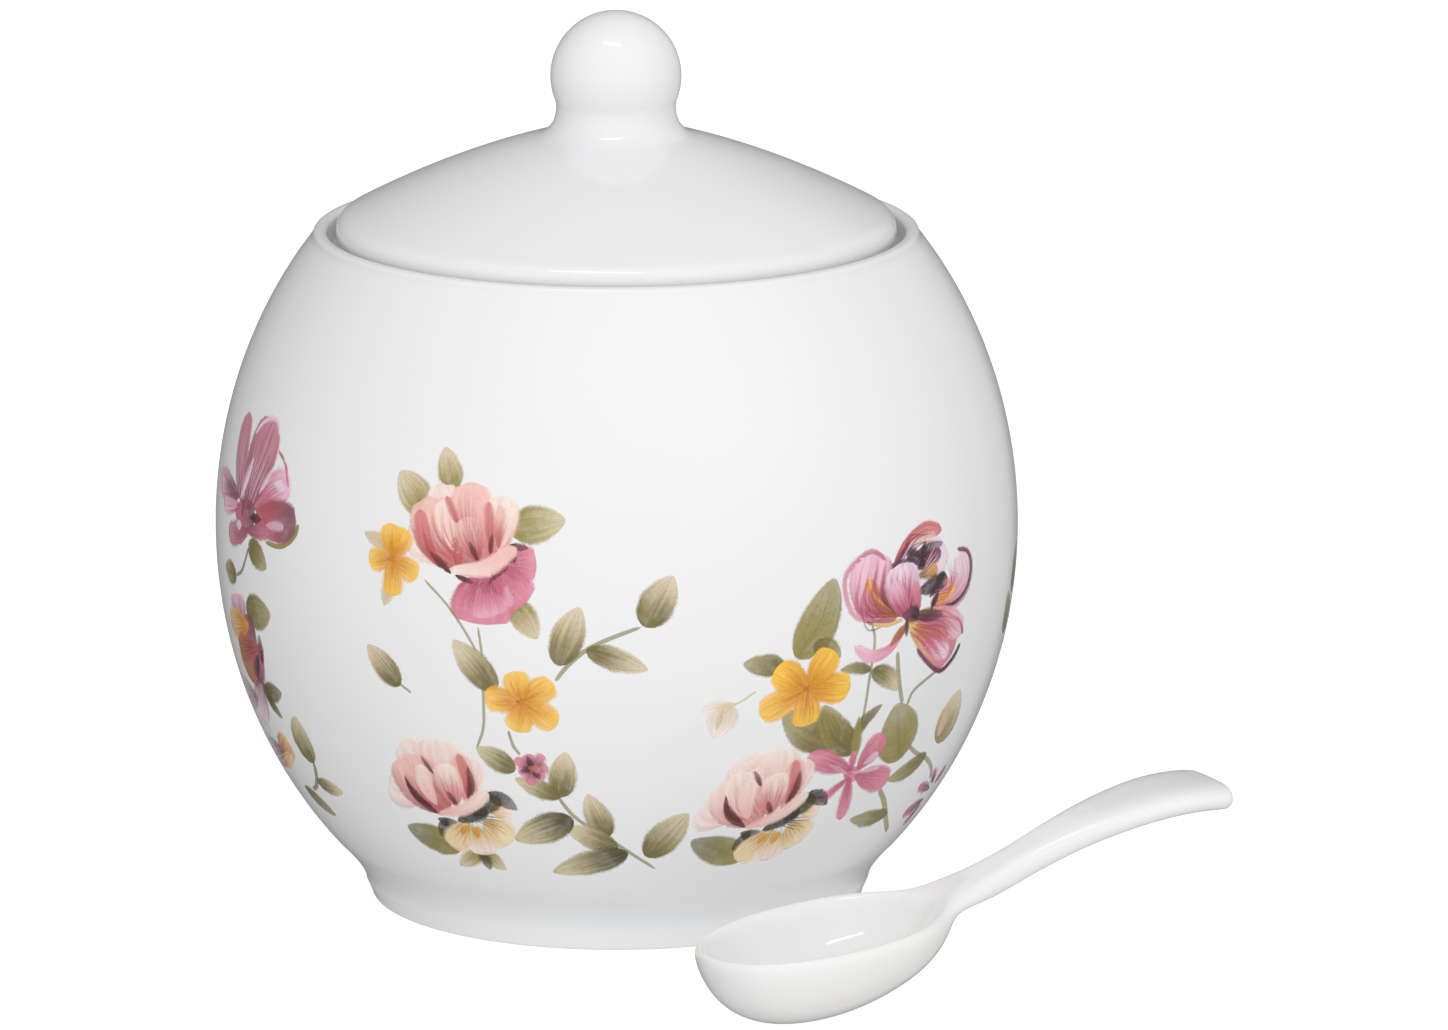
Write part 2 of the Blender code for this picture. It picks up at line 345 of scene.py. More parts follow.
# %% [markdown]
# ## The lid
#
# The lid is a shallow dome with a rounded edge that lies in the mouth on the ledge. Its ball knob
# is stuck on with slip before firing, so a small fillet joins the two and there is no seam. Under
# the dome a flange keeps the lid from sliding off. The dome's curve comes from a rounded corner
# between the knob's foot and the top of the rounded edge.

# %% Sizes of the lid
lid_low, lid_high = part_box("lid")
LID_PLAY = 0.0011
SEAT_GAP = 0.0003
FLANGE_PLAY = 0.0008
FLANGE_WALL = 0.0024
FLANGE_DEPTH = 0.0060
EDGE_ROLL = 0.0026
EDGE_ROLL_TURN = math.radians(60)
LID_WALL = 0.0030
DOME_RISE = 0.0151
DOME_BULGE = 0.0016
KNOB_RADIUS = 0.0085
NECK_INSET = 0.0007
NECK_FILLET = 0.0024
NECK_PINCH = 0.0003

seat = ledge_height + SEAT_GAP
dome_top = seat + DOME_RISE
knob_middle = lid_high.z - KNOB_RADIUS
print("lid sits at", round(1000 * seat, 2), "mm, knob at", round(1000 * knob_middle, 2), "mm")


# %% The lid's profile


def lid_profile():
    edge_radius = mouth_radius - LID_PLAY
    neck_radius = KNOB_RADIUS - NECK_INSET
    flange = ledge_inner_radius - FLANGE_PLAY
    flange_inner = flange - FLANGE_WALL
    flange_foot = seat - FLANGE_DEPTH
    soft = EDGE_ROUNDING
    knob = arc((0.0, knob_middle), KNOB_RADIUS, math.pi / 2, -math.acos(neck_radius / KNOB_RADIUS), 48)
    knob[0] = (0.0, knob_middle + KNOB_RADIUS)
    neck_foot = (neck_radius + NECK_FILLET, dome_top)
    neck_corner = (neck_radius - NECK_PINCH, dome_top + (NECK_FILLET - NECK_PINCH) / 2)
    neck = bend(knob[-1], neck_corner, neck_foot)[1:]
    roll = arc((edge_radius - EDGE_ROLL, seat + EDGE_ROLL), EDGE_ROLL, EDGE_ROLL_TURN, -math.pi / 2, 20)
    middle = [(a + b) / 2 for a, b in zip(neck_foot, roll[0])]
    dome = bend(neck_foot, (middle[0], middle[1] + DOME_BULGE), roll[0], 32)[1:]
    under = bend((flange + 2 * soft, seat), (flange, seat), (flange, seat - 2 * soft), 4)
    under += bend((flange, flange_foot + 2 * soft), (flange, flange_foot),
                  (flange - 2 * soft, flange_foot), 4)
    under += bend((flange_inner + 2 * soft, flange_foot), (flange_inner, flange_foot),
                  (flange_inner, flange_foot + 2 * soft), 4)
    inner_dome = [(r, z - LID_WALL) for r, z in reversed(dome) if r < flange_inner - NECK_FILLET]
    under += bend((flange_inner, seat), (flange_inner, inner_dome[0][1] - NECK_FILLET / 2),
                  inner_dome[0])
    under += inner_dome[1:] + [(0.0, dome_top - LID_WALL)]
    return knob + neck + dome[:-1] + roll + under


# %% Make the lid
lid = turned("lid_with_knob", lid_profile())
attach(lid, "lid")
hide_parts("lid")
describe(lid)

# %% [markdown]
# ## The ladle
#
# The ladle is pressed or cast in one: a deep oval bowl and a handle that rises out of its rim
# and ends broad and round. It starts as a cube that is subdivided and blown up to a ball. The
# lower half of the ball is kept and stretched to the oval. A few edges of its rim are then
# extruded row after row to the handle, each row flattened to a straight line of its own width.
# Solidify gives the wall, thinner round the bowl, and Subdivision Surface rounds everything.

# %% Sizes of the ladle
LADLE_LENGTH = 0.0343          # of its bowl
LADLE_WIDTH = 0.0244
LADLE_DEPTH = 0.0104
LADLE_SHALLOWING = 0.24
LADLE_WALL = 0.0036
LADLE_THINNING = 0.62
HANDLE_LENGTH = 0.0414
HANDLE_RISE = 0.0065
HANDLE_NECK_WIDTH = 0.0062
HANDLE_END_WIDTH = 0.0142
LADLE_TILT = math.radians(-6)
LADLE_HEADING = math.radians(27)
LADLE_GAP = 0.0038
LADLE_BEARING = math.radians(22.7)
HANDLE_ROOT = 0.85             # rim edges past this share of the half length carry the handle
AT_RIM = 0.01
HANDLE_STATIONS = ((0.12, 0.05, 0.15), (0.30, 0.40, 0.0), (0.52, 0.80, 0.45),
                   (0.78, 1.0, 0.95), (0.935, 0.87, 1.0),
                   (0.965, 0.83, 0.88))                       # shares of length, rise, widening

# %% The ladle's bowl, from a cube
nothing_selected()
bpy.ops.mesh.primitive_cube_add(size=2.0)
ladle = bpy.context.object
ladle.name = "ladle"
bpy.ops.object.mode_set(mode="EDIT")
bpy.ops.mesh.subdivide(number_cuts=3)
bpy.ops.mesh.select_mode(type="VERT")
bpy.ops.mesh.select_all(action="DESELECT")
bpy.ops.object.mode_set(mode="OBJECT")
for vert in ladle.data.vertices:
    vert.co.normalize()
    vert.select = vert.co.z > AT_RIM
bpy.ops.object.mode_set(mode="EDIT")
bpy.ops.mesh.delete(type="VERT")
bpy.ops.object.mode_set(mode="OBJECT")
bowl_points = range(len(ladle.data.vertices))
print("half ball:", len(bowl_points), "points")

# %% Stretch it, and choose the handle's root
rim_edges = [edge.index for edge in ladle.data.edges
             if all(abs(ladle.data.vertices[v].co.z) < AT_RIM
                    and ladle.data.vertices[v].co.x > HANDLE_ROOT for v in edge.vertices)]
for vert in ladle.data.vertices:
    vert.co.z *= LADLE_DEPTH * (1 - LADLE_SHALLOWING * vert.co.x)
    vert.co.x *= LADLE_LENGTH / 2
    vert.co.y *= LADLE_WIDTH / 2
only(ladle)
bpy.ops.object.mode_set(mode="EDIT")
bpy.ops.mesh.select_mode(type="EDGE")
bpy.ops.mesh.select_all(action="DESELECT")
bpy.ops.object.mode_set(mode="OBJECT")
for index in rim_edges:
    ladle.data.edges[index].select = True
reach = max(abs(ladle.data.vertices[v].co.y) for i in rim_edges for v in ladle.data.edges[i].vertices)
print("handle grows from", len(rim_edges), "edges,", round(2000 * reach, 1), "mm wide")

# %% Extrude the handle
bpy.ops.object.mode_set(mode="EDIT")
for share, rise, widening in HANDLE_STATIONS:
    half_width = (HANDLE_NECK_WIDTH + widening * (HANDLE_END_WIDTH - HANDLE_NECK_WIDTH)) / 2
    station = (LADLE_LENGTH / 2 + share * HANDLE_LENGTH, 0.0, rise * HANDLE_RISE)
    bpy.ops.mesh.extrude_edges_move()
    bpy.ops.transform.resize(value=(0.0, half_width / reach, 0.0), center_override=station)
    reach = half_width
bpy.ops.mesh.select_all(action="SELECT")
bpy.ops.mesh.normals_make_consistent(inside=False)
bpy.ops.object.mode_set(mode="OBJECT")
describe(ladle)

# %% Wall, rounding and place of the ladle
wall_group = ladle.vertex_groups.new(name="wall")
wall_group.add(range(len(ladle.data.vertices)), 1.0, "REPLACE")
wall_group.add(bowl_points, LADLE_THINNING, "REPLACE")
wall = ladle.modifiers.new("Wall", "SOLIDIFY")
wall.thickness = LADLE_WALL
wall.offset = 0.0
wall.use_even_offset = True
wall.vertex_group = "wall"
smooth = ladle.modifiers.new("Round", "SUBSURF")
smooth.levels = 4
smooth.render_levels = 4
only(ladle)
bpy.ops.object.modifier_apply(modifier="Wall")
bpy.ops.object.modifier_apply(modifier="Round")
distance = BELLY_RADIUS + LADLE_GAP + LADLE_WIDTH / 2
turn = Matrix.Rotation(LADLE_HEADING, 4, "Z") @ Matrix.Rotation(LADLE_TILT, 4, "Y")
place = Vector((distance * math.sin(LADLE_BEARING), -distance * math.cos(LADLE_BEARING), 0.0))
ladle.matrix_world = Matrix.Translation(place) @ turn
settle(ladle)
ladle.location.z = -min(vert.co.z for vert in ladle.data.vertices)
settle(ladle)
ladle.data.shade_smooth()
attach(ladle, "spoon")
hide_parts("spoon")
describe(ladle)

# %% [markdown]
# ## Building materials
#
# A material is a tree of small nodes. Two helpers keep the trees readable: one adds a node and
# wires its inputs, the other adds one step of arithmetic. An effect that several materials share
# is a node group, which is built once and gives out only values and masks.


# %% Node helpers


def node(tree, kind, wires=None, **settings):
    """Adds a node. In wires, a socket is linked and anything else is set as the input's value."""
    made = tree.nodes.new(kind)
    for name, value in settings.items():
        setattr(made, name, value)
    for name, value in (wires or {}).items():
        if isinstance(value, bpy.types.NodeSocket):
            tree.links.new(value, made.inputs[name])
        else:
            made.inputs[name].default_value = value
    return made


def reckon(tree, operation, first, second=0.0, third=0.0, clamp=False):
    """One step of arithmetic, as its output."""
    made = node(tree, "ShaderNodeMath", {0: first, 1: second, 2: third},
                operation=operation, use_clamp=clamp)
    return made.outputs[0]


def ease(tree, value, low, high, out_low=0.0, out_high=1.0):
    """Goes smoothly from out_low to out_high while value goes from low to high."""
    wires = {"Value": value, "From Min": low, "From Max": high, "To Min": out_low, "To Max": out_high}
    return node(tree, "ShaderNodeMapRange", wires, interpolation_type="SMOOTHSTEP").outputs["Result"]


def blend_colours(tree, share, first, second):
    """Mixes two colours, as the output."""
    made = node(tree, "ShaderNodeMix", {0: share, 6: first, 7: second}, data_type="RGBA")
    return made.outputs[2]


def new_group(name, inputs, outputs):
    """An empty node group whose sockets are floats, or vectors where the default is None."""
    tree = bpy.data.node_groups.new(name, "ShaderNodeTree")
    for socket, default in inputs.items():
        kind = "NodeSocketVector" if default is None else "NodeSocketFloat"
        made = tree.interface.new_socket(socket, in_out="INPUT", socket_type=kind)
        if default is not None:
            made.default_value = default
    for socket in outputs:
        tree.interface.new_socket(socket, in_out="OUTPUT", socket_type="NodeSocketFloat")
    return tree, tree.nodes.new("NodeGroupInput").outputs, tree.nodes.new("NodeGroupOutput").inputs


def new_material(name):
    material = bpy.data.materials.new(name)
    material.use_nodes = True
    shader = material.node_tree.nodes["Principled BSDF"]
    return material, material.node_tree, shader


print("node helpers ready")

# %% [markdown]
# ## The glaze
#
# Porcelain looks white and wet because a glassy glaze covers a white body. Close up the glaze is
# never quite flat: it has a slow swell of a centimetre or so and a fine orange peel, its white
# drifts a little between warm and cool, and a few pin specks show. The group gives these as a
# height, a drift and a mask. They are read in object space, so they stay with the piece.


# %% Group: glaze surface
SWELL_SCALE = 70.0
PEEL_SCALE = 420.0
SPECK_SCALE = 260.0
GLAZE_IOR = 1.52


def build_glaze_group():
    tree, inputs, outputs = new_group(
        "glaze_surface", {"Place": None, "Swell Scale": SWELL_SCALE, "Peel Scale": PEEL_SCALE,
                          "Speck Scale": SPECK_SCALE},
        ("Height", "Drift", "Specks"))
    swell = node(tree, "ShaderNodeTexNoise", {"Vector": inputs["Place"], "Scale": inputs["Swell Scale"],
                                              "Detail": 1.0})
    peel = node(tree, "ShaderNodeTexNoise", {"Vector": inputs["Place"], "Scale": inputs["Peel Scale"],
                                             "Detail": 2.0})
    fine = reckon(tree, "MULTIPLY", peel.outputs["Fac"], 0.22)
    height = reckon(tree, "ADD", swell.outputs["Fac"], fine)
    drift = node(tree, "ShaderNodeTexNoise", {"Vector": inputs["Place"], "Scale": 24.0, "Detail": 2.0})
    cells = node(tree, "ShaderNodeTexVoronoi", {"Vector": inputs["Place"], "Scale": inputs["Speck Scale"]})
    chosen = reckon(tree, "GREATER_THAN", cells.outputs["Color"], 0.93)
    dot = ease(tree, cells.outputs["Distance"], 0.03, 0.07, 1.0, 0.0)
    tree.links.new(height, outputs["Height"])
    tree.links.new(ease(tree, drift.outputs["Fac"], 0.3, 0.7), outputs["Drift"])
    tree.links.new(reckon(tree, "MULTIPLY", chosen, dot), outputs["Specks"])
    return tree


glaze_group = build_glaze_group()
print("group:", glaze_group.name, "with", len(glaze_group.nodes), "nodes")

# %% [markdown]
# ## Porcelain
#
# Each piece gets its own porcelain, because glaze runs down before it sets: it gathers thick in the
# hollow above the foot ring and round the knob's foot, and it thins on the rim, which is not
# painted here. So the material takes a list of height bands, painted darker and a little bluer:
# the bluer tint of thick glaze, and painted shade where shade falls in these hollows. The ring
# that the bowl stands on is wiped clean before firing and stays dry, rough and slightly warm.

# %% Porcelain material
PORCELAIN_WHITE = (0.875, 0.875, 0.876, 1.0)
PORCELAIN_COOL = (0.86, 0.862, 0.872, 1.0)
# darker and bluer than the glaze: the tint of pooled glaze, and painted shade for the hollows
GLAZE_POOL_AND_SHADE = (0.80, 0.82, 0.84, 1.0)
SPECK_GREY = (0.42, 0.38, 0.34, 1.0)
BARE_CLAY = (0.80, 0.785, 0.76, 1.0)


def porcelain(name, white, glaze_pools_and_shade=(), bare_below=None):
    """Glazed porcelain, with height bands (height, half width, strength) painted darker and bluer, as
    pooled glaze and painted shade; below bare_below it is dry.
    """
    material, tree, shader = new_material(name)
    place = node(tree, "ShaderNodeTexCoord").outputs["Object"]
    glaze = node(tree, "ShaderNodeGroup", node_tree=glaze_group)
    tree.links.new(place, glaze.inputs["Place"])
    glaze.inputs["Swell Scale"].default_value = SWELL_SCALE
    glaze.inputs["Peel Scale"].default_value = PEEL_SCALE
    glaze.inputs["Speck Scale"].default_value = SPECK_SCALE
    height = node(tree, "ShaderNodeSeparateXYZ", {0: place}).outputs["Z"]
    colour = blend_colours(tree, glaze.outputs["Drift"], white, PORCELAIN_COOL)
    # each band paints the glaze darker and bluer: pooled glaze, and painted shade in a hollow
    for middle, half_width, strength in glaze_pools_and_shade:
        off = reckon(tree, "ABSOLUTE", reckon(tree, "SUBTRACT", height, middle))
        colour = blend_colours(tree, ease(tree, off, 0.0, half_width, strength, 0.0), colour, GLAZE_POOL_AND_SHADE)
    colour = blend_colours(tree, reckon(tree, "MULTIPLY", glaze.outputs["Specks"], 0.35), colour,
                           SPECK_GREY)
    roughness = ease(tree, glaze.outputs["Drift"], 0.0, 1.0, 0.07, 0.12)
    bump_height = glaze.outputs["Height"]
    if bare_below is not None:
        bare = ease(tree, height, bare_below, bare_below * 1.4, 1.0, 0.0)
        grain = node(tree, "ShaderNodeTexNoise", {"Vector": place, "Scale": 2600.0, "Detail": 4.0})
        colour = blend_colours(tree, bare, colour, BARE_CLAY)
        roughness = reckon(tree, "MAXIMUM", roughness, reckon(tree, "MULTIPLY", bare, 0.8))
        bump_height = reckon(tree, "ADD", bump_height,
                             reckon(tree, "MULTIPLY", bare, grain.outputs["Fac"]))
    bump = node(tree, "ShaderNodeBump", {"Height": bump_height, "Strength": 1.0, "Distance": 0.00003})
    tree.links.new(colour, shader.inputs["Base Color"])
    tree.links.new(roughness, shader.inputs["Roughness"])
    tree.links.new(bump.outputs["Normal"], shader.inputs["Normal"])
    shader.inputs["IOR"].default_value = GLAZE_IOR
    return material


# the band above the foot ring is pooled glaze and painted shade in the hollow under the belly
bowl.data.materials.append(porcelain(
    "bowl_porcelain", PORCELAIN_WHITE,
    glaze_pools_and_shade=((FOOT_HEIGHT, 0.0035, 0.35),), bare_below=0.00015))
# the band round the knob's foot is pooled glaze and painted shade in the fillet
lid.data.materials.append(porcelain(
    "lid_porcelain", PORCELAIN_WHITE, glaze_pools_and_shade=((dome_top + NECK_FILLET / 4, 0.0020, 0.2),)))
ladle.data.materials.append(porcelain("ladle_porcelain", (0.89, 0.88, 0.86, 1.0)))
print("porcelain on", bowl.name, lid.name, ladle.name)

# %% [markdown]
# ## Table and light
#
# The bowl stands on a sheet of white paper in a white light tent, open towards the camera. The
# tent is a sky that is brightest in front and a little to the right, and dims behind the bowl and
# below it, so the body is white in the middle and turns grey at its sides. A lighter wall of the
# tent behind and to the right draws a soft band down the right side. Big square lamps would show
# as hard squares in the glaze; a sky with no edges does not. One small lamp overhead puts a small
# bright mark on top of the knob and in the ladle. The paper glows a little, as paper lit from
# below does, and is left out of reflections, bounced light and shadows so that it stays plain.
# That is a studio trick, and a real table would darken the foot more.

# %% Floor
FLOOR_SIZE = 8.0
FLOOR_GLOW = 0.74
nothing_selected()
bpy.ops.mesh.primitive_plane_add(size=FLOOR_SIZE, location=(0.0, 0.0, 0.0))
table = bpy.context.object
table.name = "white_table"
settle(table)
paper, tree, shader = new_material("white_paper")
place = node(tree, "ShaderNodeTexCoord").outputs["Object"]
fibres = node(tree, "ShaderNodeTexNoise", {"Vector": place, "Scale": 900.0, "Detail": 3.0})
tint = blend_colours(tree, fibres.outputs["Fac"], (0.54, 0.54, 0.54, 1.0), (0.57, 0.57, 0.57, 1.0))
tree.links.new(tint, shader.inputs["Base Color"])
shader.inputs["Roughness"].default_value = 0.9
shader.inputs["Specular IOR Level"].default_value = 0.0
shader.inputs["Emission Color"].default_value = (1.0, 1.0, 1.0, 1.0)
shader.inputs["Emission Strength"].default_value = FLOOR_GLOW
table.data.materials.append(paper)
table.visible_diffuse = False
table.visible_glossy = False
table.visible_shadow = False
describe(table)

# %% Light tent
TENT_FRONT = Vector((0.14, -0.96, 0.22)).normalized()
TENT_DIM = 0.20                # radiance straight behind the bowl
TENT_BRIGHT = 1.11             # radiance straight in front
UNDERSIDE = 0.93               # how much of it is left below the horizon
TENT_PANEL = Vector((0.60, 0.80, 0.0)).normalized()      # behind, to the right
PANEL_GAIN = 0.20
LAMP_WATTS = 1.3
LAMP_LENGTH = 0.55
LAMP_WIDTH = 0.08
LAMP_PLACE = Vector((-0.109, -0.436, 1.20))
LAMP_TARGET = Vector((0.0, 0.0, 0.05))      # the middle of the bowl


def build_tent():
    world = bpy.data.worlds.new("light_tent")
    world.use_nodes = True
    tree = world.node_tree
    looking = node(tree, "ShaderNodeTexCoord").outputs["Generated"]
    facing = node(tree, "ShaderNodeVectorMath", {0: looking, 1: TENT_FRONT}, operation="DOT_PRODUCT")
    height = node(tree, "ShaderNodeSeparateXYZ", {0: looking}).outputs["Z"]
    front = ease(tree, facing.outputs["Value"], -1.0, 1.0, TENT_DIM, TENT_BRIGHT)
    below = ease(tree, height, -0.5, 0.15, UNDERSIDE, 1.0)
    level = node(tree, "ShaderNodeVectorMath", {0: looking, 1: (1.0, 1.0, 0.0)}, operation="MULTIPLY")
    level = node(tree, "ShaderNodeVectorMath", {0: level.outputs[0]}, operation="NORMALIZE")
    aside = node(tree, "ShaderNodeVectorMath", {0: level.outputs[0], 1: TENT_PANEL},
                 operation="DOT_PRODUCT")
    panel = ease(tree, aside.outputs["Value"], 0.94, 0.99, 0.0, PANEL_GAIN)
    total = reckon(tree, "ADD", reckon(tree, "MULTIPLY", front, below), panel)
    tree.links.new(total, tree.nodes["Background"].inputs["Strength"])
    tree.nodes["Background"].inputs["Color"].default_value = (1.0, 1.0, 1.0, 1.0)
    bpy.context.scene.world = world


build_tent()
lamp_data = bpy.data.lights.new("overhead_softbox", "AREA")
lamp_data.shape = "RECTANGLE"
lamp_data.size = LAMP_LENGTH
lamp_data.size_y = LAMP_WIDTH
lamp_data.energy = LAMP_WATTS
lamp = bpy.data.objects.new("overhead_softbox", lamp_data)
lamp.location = LAMP_PLACE
aim = LAMP_TARGET - LAMP_PLACE
lamp.rotation_euler = aim.to_track_quat("-Z", "Y").to_euler()
bpy.context.scene.collection.objects.link(lamp)
print("tent and", lamp.name)

# %% [markdown]
# ## The printed flowers
#
# The decoration is a transfer: flowers screened in ceramic colours on a sheet, slid on to the
# glazed bowl and fired again, so that the colours melt into the glaze. It is made here the same
# way. Each spray is laid flat on a sheet, mark by mark, as a painter lays brush marks: stems
# first, then leaves, then petals from the back of each flower to its front. The sheet is then
# wrapped on the bowl. Marks as geometry were chosen over a painted image, so each keeps its own
# outline, colours and veins at any distance.

# %% Ceramic colours


def ink(red, green, blue):
    """A colour as it looks on the glaze, from 0 to 1, turned into linear light."""
    linear = [v / 12.92 if v <= 0.04045 else ((v + 0.055) / 1.055) ** 2.4 for v in (red, green, blue)]
    return (*linear, 1.0)


OLIVE = ink(0.60, 0.55, 0.30)
OLIVE_DARK = ink(0.46, 0.42, 0.21)
OLIVE_DEEP = ink(0.29, 0.27, 0.15)
OLIVE_PALE = ink(0.79, 0.73, 0.54)
SAND = ink(0.84, 0.76, 0.60)
STEM = ink(0.59, 0.56, 0.40)
ROSE = ink(0.84, 0.50, 0.49)
ROSE_DEEP = ink(0.74, 0.33, 0.34)
ROSE_PALE = ink(0.95, 0.76, 0.72)
BLUSH = ink(0.97, 0.88, 0.84)
SLIT = ink(0.33, 0.11, 0.14)
MAGENTA = ink(0.87, 0.52, 0.61)
MAGENTA_DEEP = ink(0.75, 0.35, 0.46)
MAGENTA_PALE = ink(0.94, 0.74, 0.82)
PLUM = ink(0.25, 0.12, 0.18)
PLUM_SOFT = ink(0.50, 0.25, 0.34)
LILAC = ink(0.94, 0.84, 0.90)
YELLOW = ink(0.98, 0.77, 0.28)
OCHRE = ink(0.86, 0.58, 0.13)
RUST = ink(0.68, 0.39, 0.17)
CREAM = ink(0.95, 0.86, 0.70)
CREAM_DEEP = ink(0.88, 0.74, 0.48)
BARK = ink(0.20, 0.17, 0.12)
print("ceramic colours mixed")

# %% [markdown]
# ## Brush marks
#
# A mark is a flat grid, one long and one wide, whose rows are drawn in to an outline: a leaf is
# pointed at both ends, a petal is broad near its tip, a fan is broader still, a slit is a thin
# lens and a stalk keeps its width. Each is modelled once. The grid's UV map stays as it was, so
# across every mark U runs from foot to tip and V from edge to edge, for the veins and the fade.

# %% Model the marks
LEAST_WIDTH = 0.04


def model_mark(name, foot_power, tip_power, rows, columns):
    """A mark whose width follows share ** foot_power * (1 - share) ** tip_power, at most 1."""
    nothing_selected()
    bpy.ops.mesh.primitive_grid_add(x_subdivisions=rows, y_subdivisions=columns, size=1.0,
                                    location=(0.5, 0.0, 0.0))
    mark = bpy.context.object
    mark.name = name
    settle(mark)
    widest = foot_power / (foot_power + tip_power)
    most = widest ** foot_power * (1 - widest) ** tip_power
    bpy.ops.object.mode_set(mode="EDIT")
    bpy.ops.mesh.select_mode(type="VERT")
    cage = bmesh.from_edit_mesh(mark.data)
    for row in range(rows + 1):
        share = row / rows
        width = max(LEAST_WIDTH, share ** foot_power * (1 - share) ** tip_power / most)
        for vert in cage.verts:
            vert.select = abs(vert.co.x - share) < 0.1 / rows
        cage.select_flush_mode()
        bpy.ops.transform.resize(value=(1.0, width, 1.0), center_override=(share, 0.0, 0.0))
    bpy.ops.object.mode_set(mode="OBJECT")
    return mark


leaf_mark = model_mark("leaf_mark", 0.62, 0.80, 12, 8)
petal_mark = model_mark("petal_mark", 0.75, 0.42, 12, 8)
fan_mark = model_mark("fan_mark", 0.55, 0.30, 12, 8)
slit_mark = model_mark("slit_mark", 0.9, 0.9, 8, 2)
stalk_mark = model_mark("stalk_mark", 0.12, 0.12, 16, 2)
for mark in (leaf_mark, petal_mark, fan_mark, slit_mark, stalk_mark):
    describe(mark)

# %% [markdown]
# ## Laying a mark
#
# A mark is copied on to the sheet along a route of two or more places, given in millimetres:
# across from the sheet's middle, and up from the table. The copy is bent along a smooth curve
# through them. Its colours at foot and tip, and how veined, streaky and strong it is, are stored
# on its points, so one material paints every mark.

# %% Lay marks on a sheet
MM = 0.001
SEED_STEP = 0.381966           # spreads the seeds without a visible order
REACH_STEP = 0.618             # and the lengths of brush strokes
BASE_LIFT = 0.000014           # the lowest mark's height above the glaze
LAYER_STEP = 0.0000018         # a mark lies this much above those whose boxes it overlaps


def along(route, share):
    """A place and a direction on the smooth curve through a route's places."""
    spot = min(int(share * (len(route) - 1)), len(route) - 2)
    t = share * (len(route) - 1) - spot
    b, c = route[spot], route[spot + 1]
    a = route[spot - 1] if spot > 0 else 2 * b - c
    d = route[spot + 2] if spot + 2 < len(route) else 2 * c - b
    place = 0.5 * (2 * b + (c - a) * t + (2 * a - 5 * b + 4 * c - d) * t ** 2
                   + (3 * b - a - 3 * c + d) * t ** 3)
    heading = (c - a) + 2 * (2 * a - 5 * b + 4 * c - d) * t + 3 * (3 * b - a - 3 * c + d) * t ** 2
    return place, heading.normalized()


def lay(sheet, mark, places, width, foot, tip, sway=0.0, veins=0.0, streaks=0.5, strength=1.0,
        soft=0.35, melt=0.0):
    """Copies a mark on to a sheet along places. soft is its fading edge in millimetres, and melt
    is how much of the colour is gone at its tip."""
    route = [Vector(place) for place in places]
    if sway:
        run = route[-1] - route[0]
        side = Vector((-run.y, run.x)).normalized()
        route.insert(1, (route[0] + route[-1]) / 2 + side * sway)
    mesh = mark.data.copy()
    for vert in mesh.vertices:
        place, heading = along(route, vert.co.x)
        place = place + Vector((-heading.y, heading.x)) * vert.co.y * width
        vert.co = (place.x * MM, place.y * MM, 0.0)
    xs = [vert.co.x for vert in mesh.vertices]
    ys = [vert.co.y for vert in mesh.vertices]
    box = (min(xs), max(xs), min(ys), max(ys))
    level = 1 + max((below for _, other, below in sheet
                     if box[0] < other[1] and other[0] < box[1]
                     and box[2] < other[3] and other[2] < box[3]), default=0)
    mesh.transform(Matrix.Translation((0.0, 0.0, BASE_LIFT + level * LAYER_STEP)))
    seed = (len(sheet) * SEED_STEP) % 1.0
    paints = {"foot_ink": foot, "tip_ink": tip, "brushwork": (veins, streaks, strength, seed),
              "edges": (min(1.0, 2 * soft / width), melt, 0.0, 1.0)}
    for name, value in paints.items():
        layer = mesh.color_attributes.new(name, "FLOAT_COLOR", "POINT")
        layer.data.foreach_set("color", list(value) * len(mesh.vertices))
    copy = bpy.data.objects.new("mark", mesh)
    bpy.context.scene.collection.objects.link(copy)
    sheet.append((copy, box, level))


# Two inks on one brush, from the foot of a mark to its tip
DUSTY_LEAF = (OLIVE_DARK, SAND)
DARK_LEAF = (OLIVE_DARK, OLIVE)
PALE_LEAF = (OLIVE_DARK, OLIVE_PALE)
FADED_LEAF = (OLIVE, SAND)
PLAIN_LEAF = (OLIVE, OLIVE)
SHADED_LEAF = (OLIVE_DEEP, OLIVE_DARK)
SHELL = (ROSE_PALE, BLUSH)
BERRY = (MAGENTA_DEEP, MAGENTA)


def leaf(sheet, foot, tip, width, colours=PALE_LEAF, sway=0.0, strength=1.0):
    lay(sheet, leaf_mark, (foot, tip), width + 0.4, *colours, sway=sway, veins=0.6, streaks=0.9,
        strength=strength, soft=0.5, melt=0.2)


def petal(sheet, foot, tip, width, colours, sway=0.0, streaks=0.7, strength=0.95, mark=petal_mark,
          soft=0.6):
    lay(sheet, mark, (foot, tip), width + 0.5 * soft, *colours, sway=sway, streaks=streaks,
        strength=strength, soft=soft)


def striped(sheet, foot, tip, width, colours, **more):
    """A petal whose brush streaks are as strong as they get."""
    petal(sheet, foot, tip, width, colours, streaks=1.0, **more)


def sweep(sheet, mark, places, width, foot, tip, strength=1.0):
    """One long streaky stroke through several places."""
    lay(sheet, mark, places, width, foot, tip, streaks=1.0, strength=strength)


def slit(sheet, foot, tip, width, colour=SLIT, sway=0.0, strength=0.9):
    lay(sheet, slit_mark, (foot, tip), width + 0.3, colour, colour, sway=sway, streaks=0.6,
        strength=strength, soft=0.3, melt=0.3)


def stem(sheet, places, width, colour=STEM, strength=0.85):
    lay(sheet, stalk_mark, places, width, colour, colour, streaks=0.3, strength=strength, soft=0.15)


FOOT_SPREAD = 0.35             # how far a fan of strokes is spread at its foot, as a share
TIP_SPREAD = 0.85


